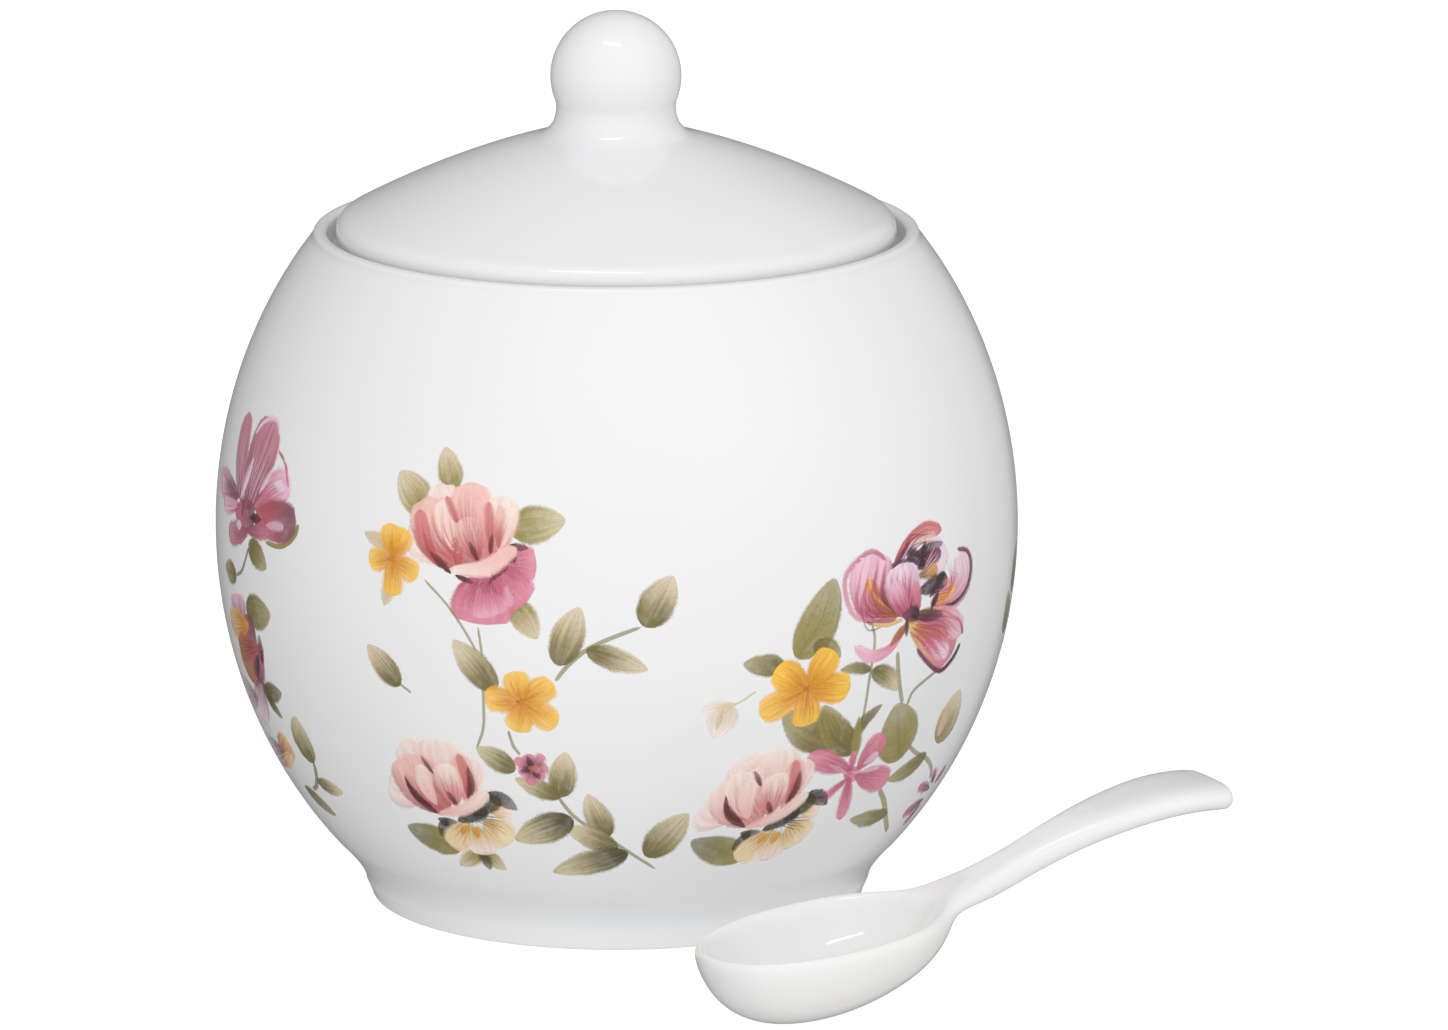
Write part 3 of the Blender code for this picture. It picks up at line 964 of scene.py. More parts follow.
def hatch(sheet, foot, tip, spread, colour, count=5, width=0.45, sway=0.0, strength=0.5):
    """Thin brush strokes that fan out from the foot of a petal to its tip, spread wide there."""
    start, run = Vector(foot), Vector(tip) - Vector(foot)
    side = Vector((-run.y, run.x)).normalized()
    for stroke in range(count):
        across = (stroke + 0.5) / count - 0.5
        reach = 0.72 + 0.24 * ((stroke * REACH_STEP) % 1.0)
        low = start + run * (0.06 + 0.10 * (stroke % 2)) + side * across * spread * FOOT_SPREAD
        high = start + run * reach + side * across * spread * TIP_SPREAD
        lay(sheet, slit_mark, (low, high), width, colour, colour, sway=sway * (1 + across), streaks=0.9,
            strength=strength, soft=0.2, melt=0.7)


print("brush ready")


# %% [markdown]
# ## Flowers that come more than once
#
# A small yellow flower is five petals and a few dark threads. The low rose is the same on two
# of the sprays, so it is a function that takes the place of its middle.

# %% Yellow flower and low rose
ROUND_REACH = 0.93              # yellow petals stop a little short of their tips
ROUND_FULLNESS = 1.16           # and are fuller than the width given


def yellow_flower(sheet, middle, tips, width):
    """Petals from the middle to each tip, then threads over them."""
    mx, my = middle
    for tx, ty in tips:
        petal(sheet, (mx, my), (mx + (tx - mx) * ROUND_REACH, my + (ty - my) * ROUND_REACH),
              width * ROUND_FULLNESS, (OCHRE, YELLOW), streaks=0.8)
    for tx, ty in tips:
        reach = ((tx - mx) * 0.5 + mx, (ty - my) * 0.5 + my)
        hatch(sheet, (mx, my), (tx, ty), width * 0.8, OCHRE, 5, 0.4)
        lay(sheet, slit_mark, ((mx, my), reach), 0.8, RUST, OCHRE, streaks=1.0, strength=0.4)
    petal(sheet, (mx - 0.8, my), (mx + 0.8, my), 1.2, (RUST, OCHRE), strength=0.5)


def low_rose(sheet, x, y, body=(ROSE_DEEP, ROSE_PALE)):
    """A full rose seen from the side, over cream petals, with its middle at x, y."""
    petal(sheet, (x - 2, y - 2), (x - 7.3, y + 0.6), 7.5, SHELL, strength=0.75)
    petal(sheet, (x, y + 1), (x - 4.6, y + 6.2), 5.5, SHELL, strength=0.8)
    petal(sheet, (x + 1, y + 2), (x + 0.8, y + 7.4), 7.5, SHELL, strength=0.8)
    petal(sheet, (x + 4, y - 1), (x + 5.2, y + 5.6), 5.0, SHELL, strength=0.85)
    petal(sheet, (x + 4.8, y - 3), (x + 3.9, y + 5.8), 3.6, (ROSE, ROSE_PALE), strength=0.9)
    petal(sheet, (x + 1.5, y - 3.5), (x - 4.2, y + 4.6), 8.2, body, sway=0.8)
    hatch(sheet, (x + 1.3, y - 3.4), (x - 4.0, y + 4.4), 6.6, ROSE_DEEP, 8, 0.5, sway=0.8)
    petal(sheet, (x + 2.4, y - 2.4), (x + 1.6, y + 4.0), 4.6, (ROSE, BLUSH))
    hatch(sheet, (x + 2.4, y - 2.4), (x + 1.6, y + 3.6), 3.6, ROSE_DEEP, 5, 0.4)
    petal(sheet, (x - 0.4, y - 2.6), (x - 1.9, y + 3.4), 2.8, SHELL, sway=0.5)
    petal(sheet, (x + 4.4, y - 1.4), (x + 3.7, y + 5.6), 1.9, (ROSE_DEEP, ROSE), sway=-0.5)
    slit(sheet, (x + 4.3, y - 1.4), (x + 4.9, y + 4.0), 1.1, sway=-0.5)
    slit(sheet, (x + 2.8, y - 2.4), (x + 1.4, y - 0.1), 0.8)
    slit(sheet, (x - 0.1, y + 2.1), (x - 1.8, y + 4.6), 0.7)
    slit(sheet, (x - 0.3, y - 3.8), (x - 4.7, y + 0.4), 1.3, sway=0.5)
    slit(sheet, (x + 0.6, y - 4.4), (x - 0.7, y - 7.4), 1.8, BARK)
    slit(sheet, (x - 0.8, y - 4.6), (x + 3.4, y - 5.9), 1.8, BARK)
    petal(sheet, (x + 4.2, y - 4.6), (x + 0.4, y - 9.0), 4.4, (CREAM_DEEP, CREAM))
    petal(sheet, (x + 7.2, y - 2.6), (x + 10.0, y - 2.2), 3.4, (CREAM_DEEP, BLUSH))
    petal(sheet, (x + 6.0, y - 4.0), (x + 9.2, y - 7.2), 5.0, (CREAM_DEEP, CREAM))
    petal(sheet, (x + 4.6, y - 5.0), (x + 5.0, y - 9.6), 4.6, (CREAM_DEEP, BLUSH))
    hatch(sheet, (x + 4.0, y - 4.4), (x + 0.6, y - 8.6), 3.6, RUST, 4, 0.4)
    hatch(sheet, (x + 5.6, y - 3.8), (x + 9.0, y - 7.0), 4.0, RUST, 5, 0.4)
    hatch(sheet, (x + 4.4, y - 4.0), (x + 5.0, y - 7.6), 4.0, BARK, 6, 0.35)
    slit(sheet, (x + 2.4, y - 6.6), (x + 3.4, y - 5.0), 0.9, OCHRE)
    slit(sheet, (x + 4.6, y - 7.0), (x + 4.9, y - 5.0), 0.9, OCHRE)
    striped(sheet, (x + 2.2, y - 4.6), (x + 6.8, y - 2.2), 2.6, (BARK, BARK))
    striped(sheet, (x + 4.6, y - 3.4), (x + 8.6, y - 0.2), 3.0, (BARK, OLIVE_DEEP))
    slit(sheet, (x + 6.4, y - 0.2), (x + 11.0, y - 2.0), 2.2, BARK, sway=0.6, strength=0.95)
    hatch(sheet, (x + 4.4, y - 3.6), (x + 9.6, y - 4.6), 3.0, BARK, 5, 0.4, strength=0.7)
    slit(sheet, (x - 4.8, y + 1.4), (x - 1.0, y - 3.0), 0.9, sway=-0.9)
    petal(sheet, (x - 0.6, y - 3.9), (x + 7.4, y + 0.4), 2.2, SHELL, sway=-0.8, mark=fan_mark)


# %% [markdown]
# ## First sheet: the rose spray
#
# A tall rose with magenta petals under it, two yellow flowers, the low rose and a trailing
# branch. The marks are listed from the back to the front.

# %% Rose spray: stems and leaves
rose_sheet = []
stem(rose_sheet, ((-10.1, 52.7), (-6.5, 49.4), (-3.4, 45.0), (-1.0, 39.8)), 0.5)
stem(rose_sheet, ((-2.5, 47.4), (-2.0, 43.0), (-2.1, 37.0), (-2.4, 33.4), (-3.7, 30.2)), 0.55)
stem(rose_sheet, ((7.4, 40.3), (9.2, 42.6), (12.6, 45.3), (18.9, 47.9)), 0.75)
stem(rose_sheet, ((0.9, 33.4), (1.4, 31.2), (2.2, 30.0)), 0.6)
stem(rose_sheet, ((6.3, 24.4), (8.2, 21.2), (12.0, 18.0), (17.4, 12.8)), 0.7)
stem(rose_sheet, ((-12.3, 37.2), (-14.2, 38.4)), 0.5)
for foot, tip, width, colours in (
        ((-9.6, 61.0), (-14.2, 65.7), 4.8, FADED_LEAF), ((-6.1, 64.0), (-7.9, 69.3), 3.6, FADED_LEAF),
        ((1.4, 59.9), (8.8, 61.3), 5.0, (OLIVE, OLIVE_PALE)), ((2.3, 50.8), (5.4, 45.9), 3.7, FADED_LEAF),
        ((-0.2, 38.6), (-6.0, 45.1), 4.2, DUSTY_LEAF),
        ((7.8, 42.4), (10.8, 50.4), 4.5, DUSTY_LEAF),
        ((11.4, 44.7), (19.4, 42.0), 3.3, DUSTY_LEAF),
        ((18.9, 47.6), (22.6, 54.3), 4.9, DUSTY_LEAF),
        ((-13.8, 37.9), (-18.8, 42.9), 3.7, DUSTY_LEAF),
        ((-8.2, 14.9), (-16.2, 17.2), 4.5, (OLIVE, OLIVE_DARK)),
        ((1.4, 27.7), (-3.7, 30.6), 3.4, PALE_LEAF),
        ((6.6, 24.0), (8.2, 30.8), 3.8, DUSTY_LEAF),
        ((6.8, 24.1), (1.0, 26.6), 2.9, PALE_LEAF),
        ((12.0, 18.2), (10.2, 24.8), 3.6, DUSTY_LEAF),
        ((13.0, 16.4), (6.6, 19.8), 3.5, DUSTY_LEAF),
        ((14.2, 16.0), (3.6, 12.4), 3.7, (OLIVE_DEEP, OLIVE_PALE)),
        ((16.1, 15.0), (22.8, 21.7), 4.2, PALE_LEAF),
        ((8.0, 21.1), (-0.4, 17.2), 4.4, (OLIVE_DEEP, OLIVE_PALE)),
        ((-5.6, 14.8), (-9.2, 12.1), 2.4, FADED_LEAF), ((-5.0, 14.8), (-2.6, 12.2), 2.4, FADED_LEAF),
        ((-5.4, 15.0), (-4.8, 12.0), 1.8, SHADED_LEAF),
        ((-14.6, 56.0), (-19.2, 57.4), 2.2, (SAND, SAND)), ((-14.8, 52.0), (-15.9, 48.4), 2.0,
                                                            (SAND, SAND))):
    leaf(rose_sheet, foot, tip, width, colours)
print("rose spray:", len(rose_sheet), "stems and leaves")

# %% Rose spray: the tall rose
petal(rose_sheet, (-5.5, 54.6), (-12.6, 58.6), 6.6, SHELL, sway=-0.8, strength=0.8)
petal(rose_sheet, (-6.0, 57.0), (-8.2, 64.9), 5.4, SHELL)
petal(rose_sheet, (-3.4, 57.0), (-3.9, 65.4), 6.0, (ROSE, ROSE_PALE))
petal(rose_sheet, (-0.2, 56.0), (0.6, 64.0), 5.2, (ROSE, BLUSH))
petal(rose_sheet, (0.2, 56.8), (2.0, 62.6), 2.4, SHELL)
petal(rose_sheet, (-4.6, 54.4), (-9.8, 63.2), 7.2, (ROSE_DEEP, ROSE_PALE), sway=1.0)
petal(rose_sheet, (-7.6, 54.2), (-10.9, 61.4), 2.6, (ROSE_DEEP, ROSE), sway=0.8)
petal(rose_sheet, (-4.8, 56.0), (-7.8, 63.0), 3.0, SHELL, sway=0.6)
petal(rose_sheet, (-5.2, 59.6), (-7.2, 63.4), 1.3, (ROSE_DEEP, ROSE))
petal(rose_sheet, (-4.6, 53.6), (-1.8, 58.6), 7.0, (ROSE_DEEP, ROSE))
petal(rose_sheet, (-2.4, 55.4), (-4.6, 61.0), 4.0, (ROSE_DEEP, ROSE_PALE))
hatch(rose_sheet, (-4.8, 54.4), (-9.6, 62.8), 5.4, ROSE_DEEP, 7, 0.5, sway=1.0)
hatch(rose_sheet, (-3.4, 57.6), (-3.9, 65.0), 4.6, ROSE_DEEP, 6, 0.4, strength=0.4)
hatch(rose_sheet, (-0.2, 57.0), (0.6, 63.6), 3.4, ROSE_DEEP, 5, 0.4, strength=0.4)
hatch(rose_sheet, (-2.4, 55.4), (-4.6, 61.0), 3.0, SLIT, 4, 0.35, strength=0.35)
slit(rose_sheet, (-6.4, 54.0), (-10.2, 58.6), 1.0, ROSE_DEEP, sway=0.6)
petal(rose_sheet, (-1.2, 56.4), (-2.9, 63.6), 1.9, (ROSE, ROSE_PALE))
petal(rose_sheet, (-0.6, 56.6), (-1.4, 63.2), 1.6, (ROSE_DEEP, ROSE))
petal(rose_sheet, (0.2, 57.2), (0.3, 62.8), 1.6, (ROSE_DEEP, ROSE_PALE))
slit(rose_sheet, (-2.3, 55.3), (-3.8, 58.0), 0.75)
slit(rose_sheet, (-0.9, 56.3), (-0.7, 59.2), 0.6)
print("rose spray:", len(rose_sheet), "marks with the tall rose")

# %% Rose spray: magenta petals and the folded one in front
petal(rose_sheet, (0.8, 55.4), (5.3, 55.6), 5.0, BERRY, mark=fan_mark)
petal(rose_sheet, (-0.5, 54.8), (4.1, 50.6), 5.4, BERRY, mark=fan_mark)
petal(rose_sheet, (-1.8, 53.9), (-2.0, 47.3), 8.8, BERRY, mark=fan_mark)
petal(rose_sheet, (-1.6, 51.6), (-0.6, 48.4), 5.2, (MAGENTA, MAGENTA_PALE), strength=0.55, mark=fan_mark)
petal(rose_sheet, (1.3, 52.8), (1.8, 49.9), 1.6, (MAGENTA_PALE, MAGENTA_PALE), strength=0.5)
hatch(rose_sheet, (-1.8, 53.6), (-2.0, 47.6), 7.4, MAGENTA_DEEP, 9, 0.4, strength=0.4)
hatch(rose_sheet, (-1.2, 53.4), (-1.6, 51.0), 5.0, PLUM, 8, 0.3, strength=0.5)
hatch(rose_sheet, (-0.2, 54.6), (4.0, 50.8), 4.4, MAGENTA_DEEP, 5, 0.4, strength=0.4)
hatch(rose_sheet, (0.8, 55.4), (5.0, 55.6), 4.0, MAGENTA_DEEP, 5, 0.4, strength=0.45)
slit(rose_sheet, (1.4, 57.7), (4.2, 57.6), 1.0)
slit(rose_sheet, (1.5, 55.7), (2.7, 56.4), 0.9)
slit(rose_sheet, (-6.0, 53.6), (-9.2, 56.2), 1.0)
slit(rose_sheet, (-5.6, 53.5), (-2.9, 52.7), 0.8)
for step in range(4):
    slit(rose_sheet, (-1.0 + 0.65 * step, 52.6 + 0.55 * step), (-0.2 + 0.6 * step, 54.0 + 0.5 * step), 0.4)
petal(rose_sheet, (-6.4, 54.2), (2.7, 57.7), 2.5, (BLUSH, ROSE_PALE), sway=-1.3, mark=fan_mark)
print("rose spray:", len(rose_sheet), "marks with the folded petal")

# %% Rose spray: yellow flowers, the low rose and a small purple flower
yellow_flower(rose_sheet, (-14.6, 54.6),
              ((-12.4, 59.0), (-18.7, 54.0), (-10.4, 52.8), (-14.5, 49.4), (-15.3, 59.5)), 3.0)
yellow_flower(rose_sheet, (3.0, 37.4), ((-2.4, 37.6), (2.1, 32.8), (7.8, 34.2), (7.6, 40.4), (2.1, 41.9)),
              3.4)
low_rose(rose_sheet, -10.1, 23.9)
PURPLE_MIDDLE = Vector((3.6, 28.2))
for count in range(7):
    turn = count * 2 * math.pi / 7
    tip = PURPLE_MIDDLE + Vector((math.cos(turn), math.sin(turn))) * (2.6 if count % 2 else 2.1)
    petal(rose_sheet, PURPLE_MIDDLE, tip, 1.9, (PLUM_SOFT, MAGENTA), streaks=0.9)
for turn in (1.9, 3.5, 5.2):
    tip = PURPLE_MIDDLE + Vector((math.cos(turn), math.sin(turn))) * 1.8
    slit(rose_sheet, PURPLE_MIDDLE, tip, 0.9, PLUM)
petal(rose_sheet, (3.0, 28.2), (4.6, 28.0), 1.5, (RUST, ROSE))
print("rose spray:", len(rose_sheet), "marks")

# %% [markdown]
# ## Second sheet: the tulip spray
#
# An open striped tulip over a tangle of leaves, a yellow flower, a star-shaped magenta flower and
# the low rose again.

# %% Tulip spray: stems and leaves
tulip_sheet = []
stem(tulip_sheet, ((0.2, 45.4), (0.9, 43.0), (0.6, 38.0), (0.4, 32.0), (-1.2, 29.8)), 0.6)
stem(tulip_sheet, ((5.0, 41.0), (5.6, 38.0), (6.4, 35.6), (7.4, 33.2)), 0.9)
stem(tulip_sheet, ((14.0, 36.8), (11.0, 35.7), (9.0, 34.6), (8.3, 32.8)), 0.7)
stem(tulip_sheet, ((10.6, 26.8), (13.0, 25.2), (16.0, 23.8), (19.0, 21.6), (20.3, 19.6)), 0.8)
stem(tulip_sheet, ((7.2, 21.2), (9.5, 18.8), (12.0, 15.6), (14.6, 12.9)), 1.0, OLIVE)
stem(tulip_sheet, ((-19.0, 36.7), (-17.6, 37.4), (-16.2, 38.4)), 0.45, SAND)
for foot, tip, width, colours, sway in (
        ((-11.0, 42.0), (-5.6, 52.3), 6.0, PLAIN_LEAF, -0.6), ((-12.4, 41.3), (-18.4, 42.2), 3.2,
                                                               DARK_LEAF, 0.0),
        ((-8.8, 43.6), (-4.4, 41.5), 3.0, DARK_LEAF, 0.5), ((0.8, 39.1), (-4.4, 39.8), 1.8, DARK_LEAF,
                                                            -0.3),
        ((0.7, 39.0), (6.0, 35.4), 3.0, PALE_LEAF, 0.6),
        ((-2.6, 29.4), (-12.2, 34.8), 6.0, DARK_LEAF, 0.0), ((0.8, 27.8), (-6.4, 35.4), 4.6, DARK_LEAF,
                                                             0.9),
        ((-0.8, 29.6), (3.6, 34.0), 2.0, (OLIVE_DARK, OLIVE_DARK), 0.5), ((0.6, 26.6), (-0.2, 33.0), 1.8,
                                                                          PLAIN_LEAF, 0.0),
        ((9.6, 24.8), (6.0, 33.6), 7.6, PLAIN_LEAF, 0.0), ((16.0, 24.5), (8.2, 22.2), 3.0, DARK_LEAF, 0.5),
        ((18.2, 25.2), (20.8, 32.6), 6.2, FADED_LEAF, 0.0), ((11.8, 16.5), (3.6, 17.4), 2.7, DARK_LEAF,
                                                             0.3),
        ((-10.8, 13.8), (-19.8, 17.4), 4.2, (OLIVE, OLIVE_DARK), 0.0)):
    leaf(tulip_sheet, foot, tip, width, colours, sway)
petal(tulip_sheet, (17.6, 26.4), (18.2, 30.2), 2.2, (ROSE_PALE, SAND), strength=0.7)
petal(tulip_sheet, (-19.8, 37.0), (-20.8, 32.2), 4.4, (SAND, BLUSH), strength=0.7, mark=leaf_mark)
petal(tulip_sheet, (-18.6, 36.8), (-23.2, 36.2), 2.2, (SAND, BLUSH), strength=0.7)
slit(tulip_sheet, (-20.4, 36.4), (-20.8, 33.4), 0.8, SAND)
print("tulip spray:", len(tulip_sheet), "stems and leaves")

# %% Tulip spray: back petals and the dark throat
petal(tulip_sheet, (8.6, 49.4), (13.6, 54.0), 6.0, (LILAC, LILAC), strength=0.75, mark=fan_mark)
sweep(tulip_sheet, petal_mark, ((3.4, 51.6), (6.2, 54.4), (10.0, 56.0), (13.6, 55.4)), 2.6, ROSE_DEEP, ROSE)
sweep(tulip_sheet, petal_mark, ((5.0, 52.6), (8.0, 54.6), (12.4, 55.2)), 1.6, LILAC, ROSE_PALE,
      strength=0.8)
slit(tulip_sheet, (2.2, 50.4), (3.4, 53.2), 1.4, PLUM)
slit(tulip_sheet, (2.8, 52.3), (8.0, 52.6), 1.1, PLUM)
striped(tulip_sheet, (9.8, 51.4), (6.4, 53.8), 2.4, (PLUM, PLUM))
slit(tulip_sheet, (7.6, 53.0), (13.7, 53.8), 1.8, PLUM)
slit(tulip_sheet, (8.8, 51.8), (10.0, 54.6), 1.3, PLUM)
slit(tulip_sheet, (3.6, 52.2), (7.2, 55.0), 0.8, PLUM_SOFT)
striped(tulip_sheet, (8.0, 51.2), (13.2, 52.8), 2.4, (PLUM, PLUM_SOFT))
hatch(tulip_sheet, (8.4, 50.8), (12.0, 55.0), 4.6, PLUM, 7, 0.5, strength=0.8)
striped(tulip_sheet, (8.2, 50.3), (12.4, 50.6), 2.2, (OLIVE_DARK, OCHRE))
striped(tulip_sheet, (8.2, 48.2), (14.6, 48.9), 3.0, (PLUM, PLUM))
striped(tulip_sheet, (10.6, 47.0), (13.8, 50.0), 1.6, (PLUM, BARK))
print("tulip spray:", len(tulip_sheet), "marks with the throat")

# %% Tulip spray: side and front petals
sweep(tulip_sheet, petal_mark, ((10.6, 46.4), (15.2, 46.4), (18.2, 48.6), (17.0, 52.2)), 5.4, MAGENTA,
      LILAC)
sweep(tulip_sheet, stalk_mark, ((13.4, 48.2), (15.4, 49.0), (16.2, 51.4)), 1.2, ROSE, LILAC, strength=0.7)
sweep(tulip_sheet, petal_mark, ((11.2, 46.4), (13.6, 46.6), (16.4, 47.6)), 1.8, OCHRE, YELLOW)
sweep(tulip_sheet, stalk_mark, ((10.6, 45.7), (15.6, 45.2), (19.0, 46.6), (20.2, 49.4), (19.2, 51.6),
                                (16.4, 52.3)),
    1.1, PLUM, PLUM_SOFT)
striped(tulip_sheet, (4.6, 45.2), (0.6, 54.9), 7.6, (MAGENTA_DEEP, MAGENTA_PALE), sway=2.4)
sweep(tulip_sheet, stalk_mark, ((2.6, 45.2), (-2.4, 46.6), (-4.2, 50.4), (-3.4, 53.0), (0.2, 54.8),
                                (2.8, 53.2)),
    1.1, MAGENTA, MAGENTA_DEEP, strength=0.8)
sweep(tulip_sheet, petal_mark, ((5.4, 45.5), (1.6, 47.6), (-0.6, 51.4)), 2.4, RUST, OCHRE)
sweep(tulip_sheet, stalk_mark, ((3.8, 46.4), (0.8, 48.6), (-0.4, 51.6)), 0.6, CREAM, CREAM, strength=0.7)
hatch(tulip_sheet, (4.2, 45.6), (0.6, 54.4), 6.6, MAGENTA_DEEP, 9, 0.8, sway=2.4, strength=0.9)
hatch(tulip_sheet, (4.4, 45.4), (-1.2, 51.0), 3.4, PLUM_SOFT, 5, 0.4, sway=1.8, strength=0.6)
hatch(tulip_sheet, (5.2, 45.4), (0.2, 51.6), 3.2, RUST, 6, 0.6, sway=1.2, strength=0.75)
hatch(tulip_sheet, (4.8, 45.4), (2.6, 53.4), 3.6, PLUM, 6, 0.5, sway=0.8, strength=0.75)
hatch(tulip_sheet, (4.6, 45.4), (-2.6, 50.2), 2.6, SLIT, 5, 0.4, sway=2.0, strength=0.5)
striped(tulip_sheet, (5.8, 45.2), (5.2, 52.6), 6.6, (MAGENTA_DEEP, LILAC))
hatch(tulip_sheet, (5.9, 45.2), (5.2, 52.2), 5.8, MAGENTA_DEEP, 9, 0.75, strength=0.85)
hatch(tulip_sheet, (6.4, 45.2), (6.0, 48.8), 5.4, PLUM, 6, 0.45, strength=0.6)
striped(tulip_sheet, (6.8, 45.4), (3.6, 50.4), 2.4, (MAGENTA_DEEP, MAGENTA_PALE), strength=0.8)
striped(tulip_sheet, (8.6, 45.6), (7.6, 49.8), 2.0, BERRY, strength=0.8)
stem(tulip_sheet, ((0.2, 45.3), (2.8, 44.8), (5.6, 45.1)), 0.7, CREAM_DEEP)
striped(tulip_sheet, (6.6, 44.8), (16.8, 38.4), 8.0, (CREAM_DEEP, MAGENTA), sway=0.6)
striped(tulip_sheet, (8.0, 44.4), (18.9, 41.0), 4.2, (ROSE, MAGENTA_PALE), sway=0.9)
striped(tulip_sheet, (7.4, 43.6), (15.2, 41.2), 2.4, (OCHRE, ROSE))
striped(tulip_sheet, (9.4, 41.2), (15.8, 38.6), 2.8, (MAGENTA, LILAC))
hatch(tulip_sheet, (6.8, 44.6), (17.0, 38.6), 7.0, MAGENTA_DEEP, 9, 0.75, sway=0.6, strength=0.85)
hatch(tulip_sheet, (8.0, 44.2), (18.6, 41.0), 3.8, PLUM_SOFT, 5, 0.45, sway=0.9, strength=0.6)
hatch(tulip_sheet, (6.8, 44.2), (12.0, 40.6), 5.0, RUST, 5, 0.45, strength=0.6)
hatch(tulip_sheet, (10.8, 46.6), (16.8, 51.6), 4.6, MAGENTA_DEEP, 6, 0.45, sway=-2.2, strength=0.7)
hatch(tulip_sheet, (4.0, 52.0), (13.0, 55.4), 2.6, SLIT, 6, 0.4, sway=1.2, strength=0.5)
hatch(tulip_sheet, (9.0, 50.4), (13.4, 53.4), 3.6, MAGENTA_PALE, 4, 0.4, strength=0.6)
striped(tulip_sheet, (5.4, 45.6), (8.6, 45.4), 2.6, (PLUM_SOFT, PLUM))
sweep(tulip_sheet, stalk_mark, ((8.4, 40.8), (11.0, 38.4), (14.2, 36.5), (17.0, 37.8), (18.4, 39.6)), 1.0,
      PLUM_SOFT, PLUM)
sweep(tulip_sheet, stalk_mark, ((14.8, 44.0), (17.6, 42.6), (18.8, 40.6)), 0.8, MAGENTA, PLUM_SOFT)
sweep(tulip_sheet, petal_mark, ((6.4, 44.2), (3.6, 41.6), (0.4, 41.0), (-2.6, 42.8)), 2.0, MAGENTA,
      MAGENTA_PALE)
slit(tulip_sheet, (6.6, 44.6), (3.4, 41.8), 1.2, RUST)
slit(tulip_sheet, (6.2, 45.2), (6.4, 42.6), 0.8, OLIVE_DEEP)
slit(tulip_sheet, (6.8, 45.3), (13.8, 44.4), 1.7, PLUM)
slit(tulip_sheet, (10.8, 45.4), (12.4, 47.6), 1.0, PLUM)
print("tulip spray:", len(tulip_sheet), "marks with the tulip")

# %% Tulip spray: yellow flower, star flower, low rose
petal(tulip_sheet, (-0.6, 25.2), (2.4, 24.0), 2.6, BERRY)
yellow_flower(tulip_sheet, (-9.0, 38.0),
              ((-15.9, 34.8), (-8.3, 32.2), (-1.9, 37.2), (-5.4, 43.2), (-14.4, 41.4)), 3.9)
for foot, tip, width in (((0.6, 25.2), (-7.2, 28.4), 3.4), ((0.6, 25.0), (0.2, 28.0), 1.6),
                         ((1.6, 25.0), (5.0, 29.6), 4.0),
                         ((1.6, 24.2), (8.6, 22.2), 4.2), ((0.8, 24.2), (-3.2, 21.2), 1.8), ((0.6, 24.4),
                                                                                             (1.9,
                                                                                              17.6), 2.4)):
    petal(tulip_sheet, foot, tip, width, BERRY, streaks=0.8)
    hatch(tulip_sheet, foot, tip, width * 0.8, MAGENTA_DEEP, 4, 0.4)
for foot, tip, width in (((22.2, 17.6), (17.4, 19.2), 2.0), ((22.2, 16.0), (16.8, 15.0), 2.4),
                         ((22.4, 18.4), (20.4, 21.0), 1.8),
                         ((22.0, 15.4), (19.4, 12.6), 1.8), ((23.4, 18.0), (25.4, 20.4), 1.8)):
    striped(tulip_sheet, foot, tip, width, (PLUM_SOFT, MAGENTA_DEEP))
    hatch(tulip_sheet, foot, tip, width * 0.8, PLUM, 3, 0.4)
petal(tulip_sheet, (2.4, 25.6), (4.8, 27.0), 1.5, (MAGENTA_PALE, LILAC), strength=0.7)
petal(tulip_sheet, (0.8, 24.8), (6.0, 24.6), 0.9, (MAGENTA_PALE, LILAC), strength=0.7)
slit(tulip_sheet, (0.4, 24.6), (-3.4, 26.6), 0.7, MAGENTA_PALE, strength=0.5)
low_rose(tulip_sheet, -12.6, 22.6, (ROSE, BLUSH))
print("tulip spray:", len(tulip_sheet), "marks")

# %% [markdown]
# ## Third sheet: the sweet pea spray
#
# A tall sweet pea with ruffled petals, a smaller flower in ochre and plum below it, and a
# trailing stem of leaves.

# %% Sweet pea spray
pea_sheet = []
stem(pea_sheet, ((3.0, 51.2), (1.8, 49.2), (0.4, 47.5), (-1.8, 46.4)), 0.7, OLIVE_DARK)
stem(pea_sheet, ((9.8, 24.9), (9.0, 22.4), (7.0, 19.9), (4.6, 18.6)), 0.8, OLIVE_DARK)
for foot, tip, width, colours in (
        ((2.8, 51.8), (8.2, 49.4), 3.8, DARK_LEAF), ((-1.6, 46.4), (-7.0, 46.4), 3.4, DARK_LEAF),
        ((1.0, 42.3), (8.6, 43.5), 5.0, DARK_LEAF), ((1.4, 31.4), (7.6, 32.7), 3.0, SHADED_LEAF),
        ((2.0, 31.2), (5.4, 28.7), 2.0, SHADED_LEAF), ((8.4, 23.2), (9.4, 30.0), 4.8, PALE_LEAF),
        ((7.6, 20.3), (13.6, 20.3), 2.5, DUSTY_LEAF), ((1.4, 18.2), (7.4, 15.6), 2.9, DARK_LEAF)):
    leaf(pea_sheet, foot, tip, width, colours)
PEA = (ink(0.62, 0.33, 0.40), ink(0.77, 0.48, 0.55))
striped(pea_sheet, (-1.0, 57.0), (-13.0, 57.2), 4.4, (PLUM_SOFT, MAGENTA_PALE))
striped(pea_sheet, (-0.6, 55.8), (-8.4, 54.6), 3.0, (MAGENTA_DEEP, MAGENTA_PALE))
striped(pea_sheet, (0.0, 56.0), (-3.4, 67.7), 5.0, PEA, sway=0.8)
striped(pea_sheet, (3.6, 56.4), (12.2, 61.8), 5.6, (MAGENTA_DEEP, MAGENTA_PALE))
striped(pea_sheet, (1.6, 55.6), (5.0, 68.4), 8.4, PEA)
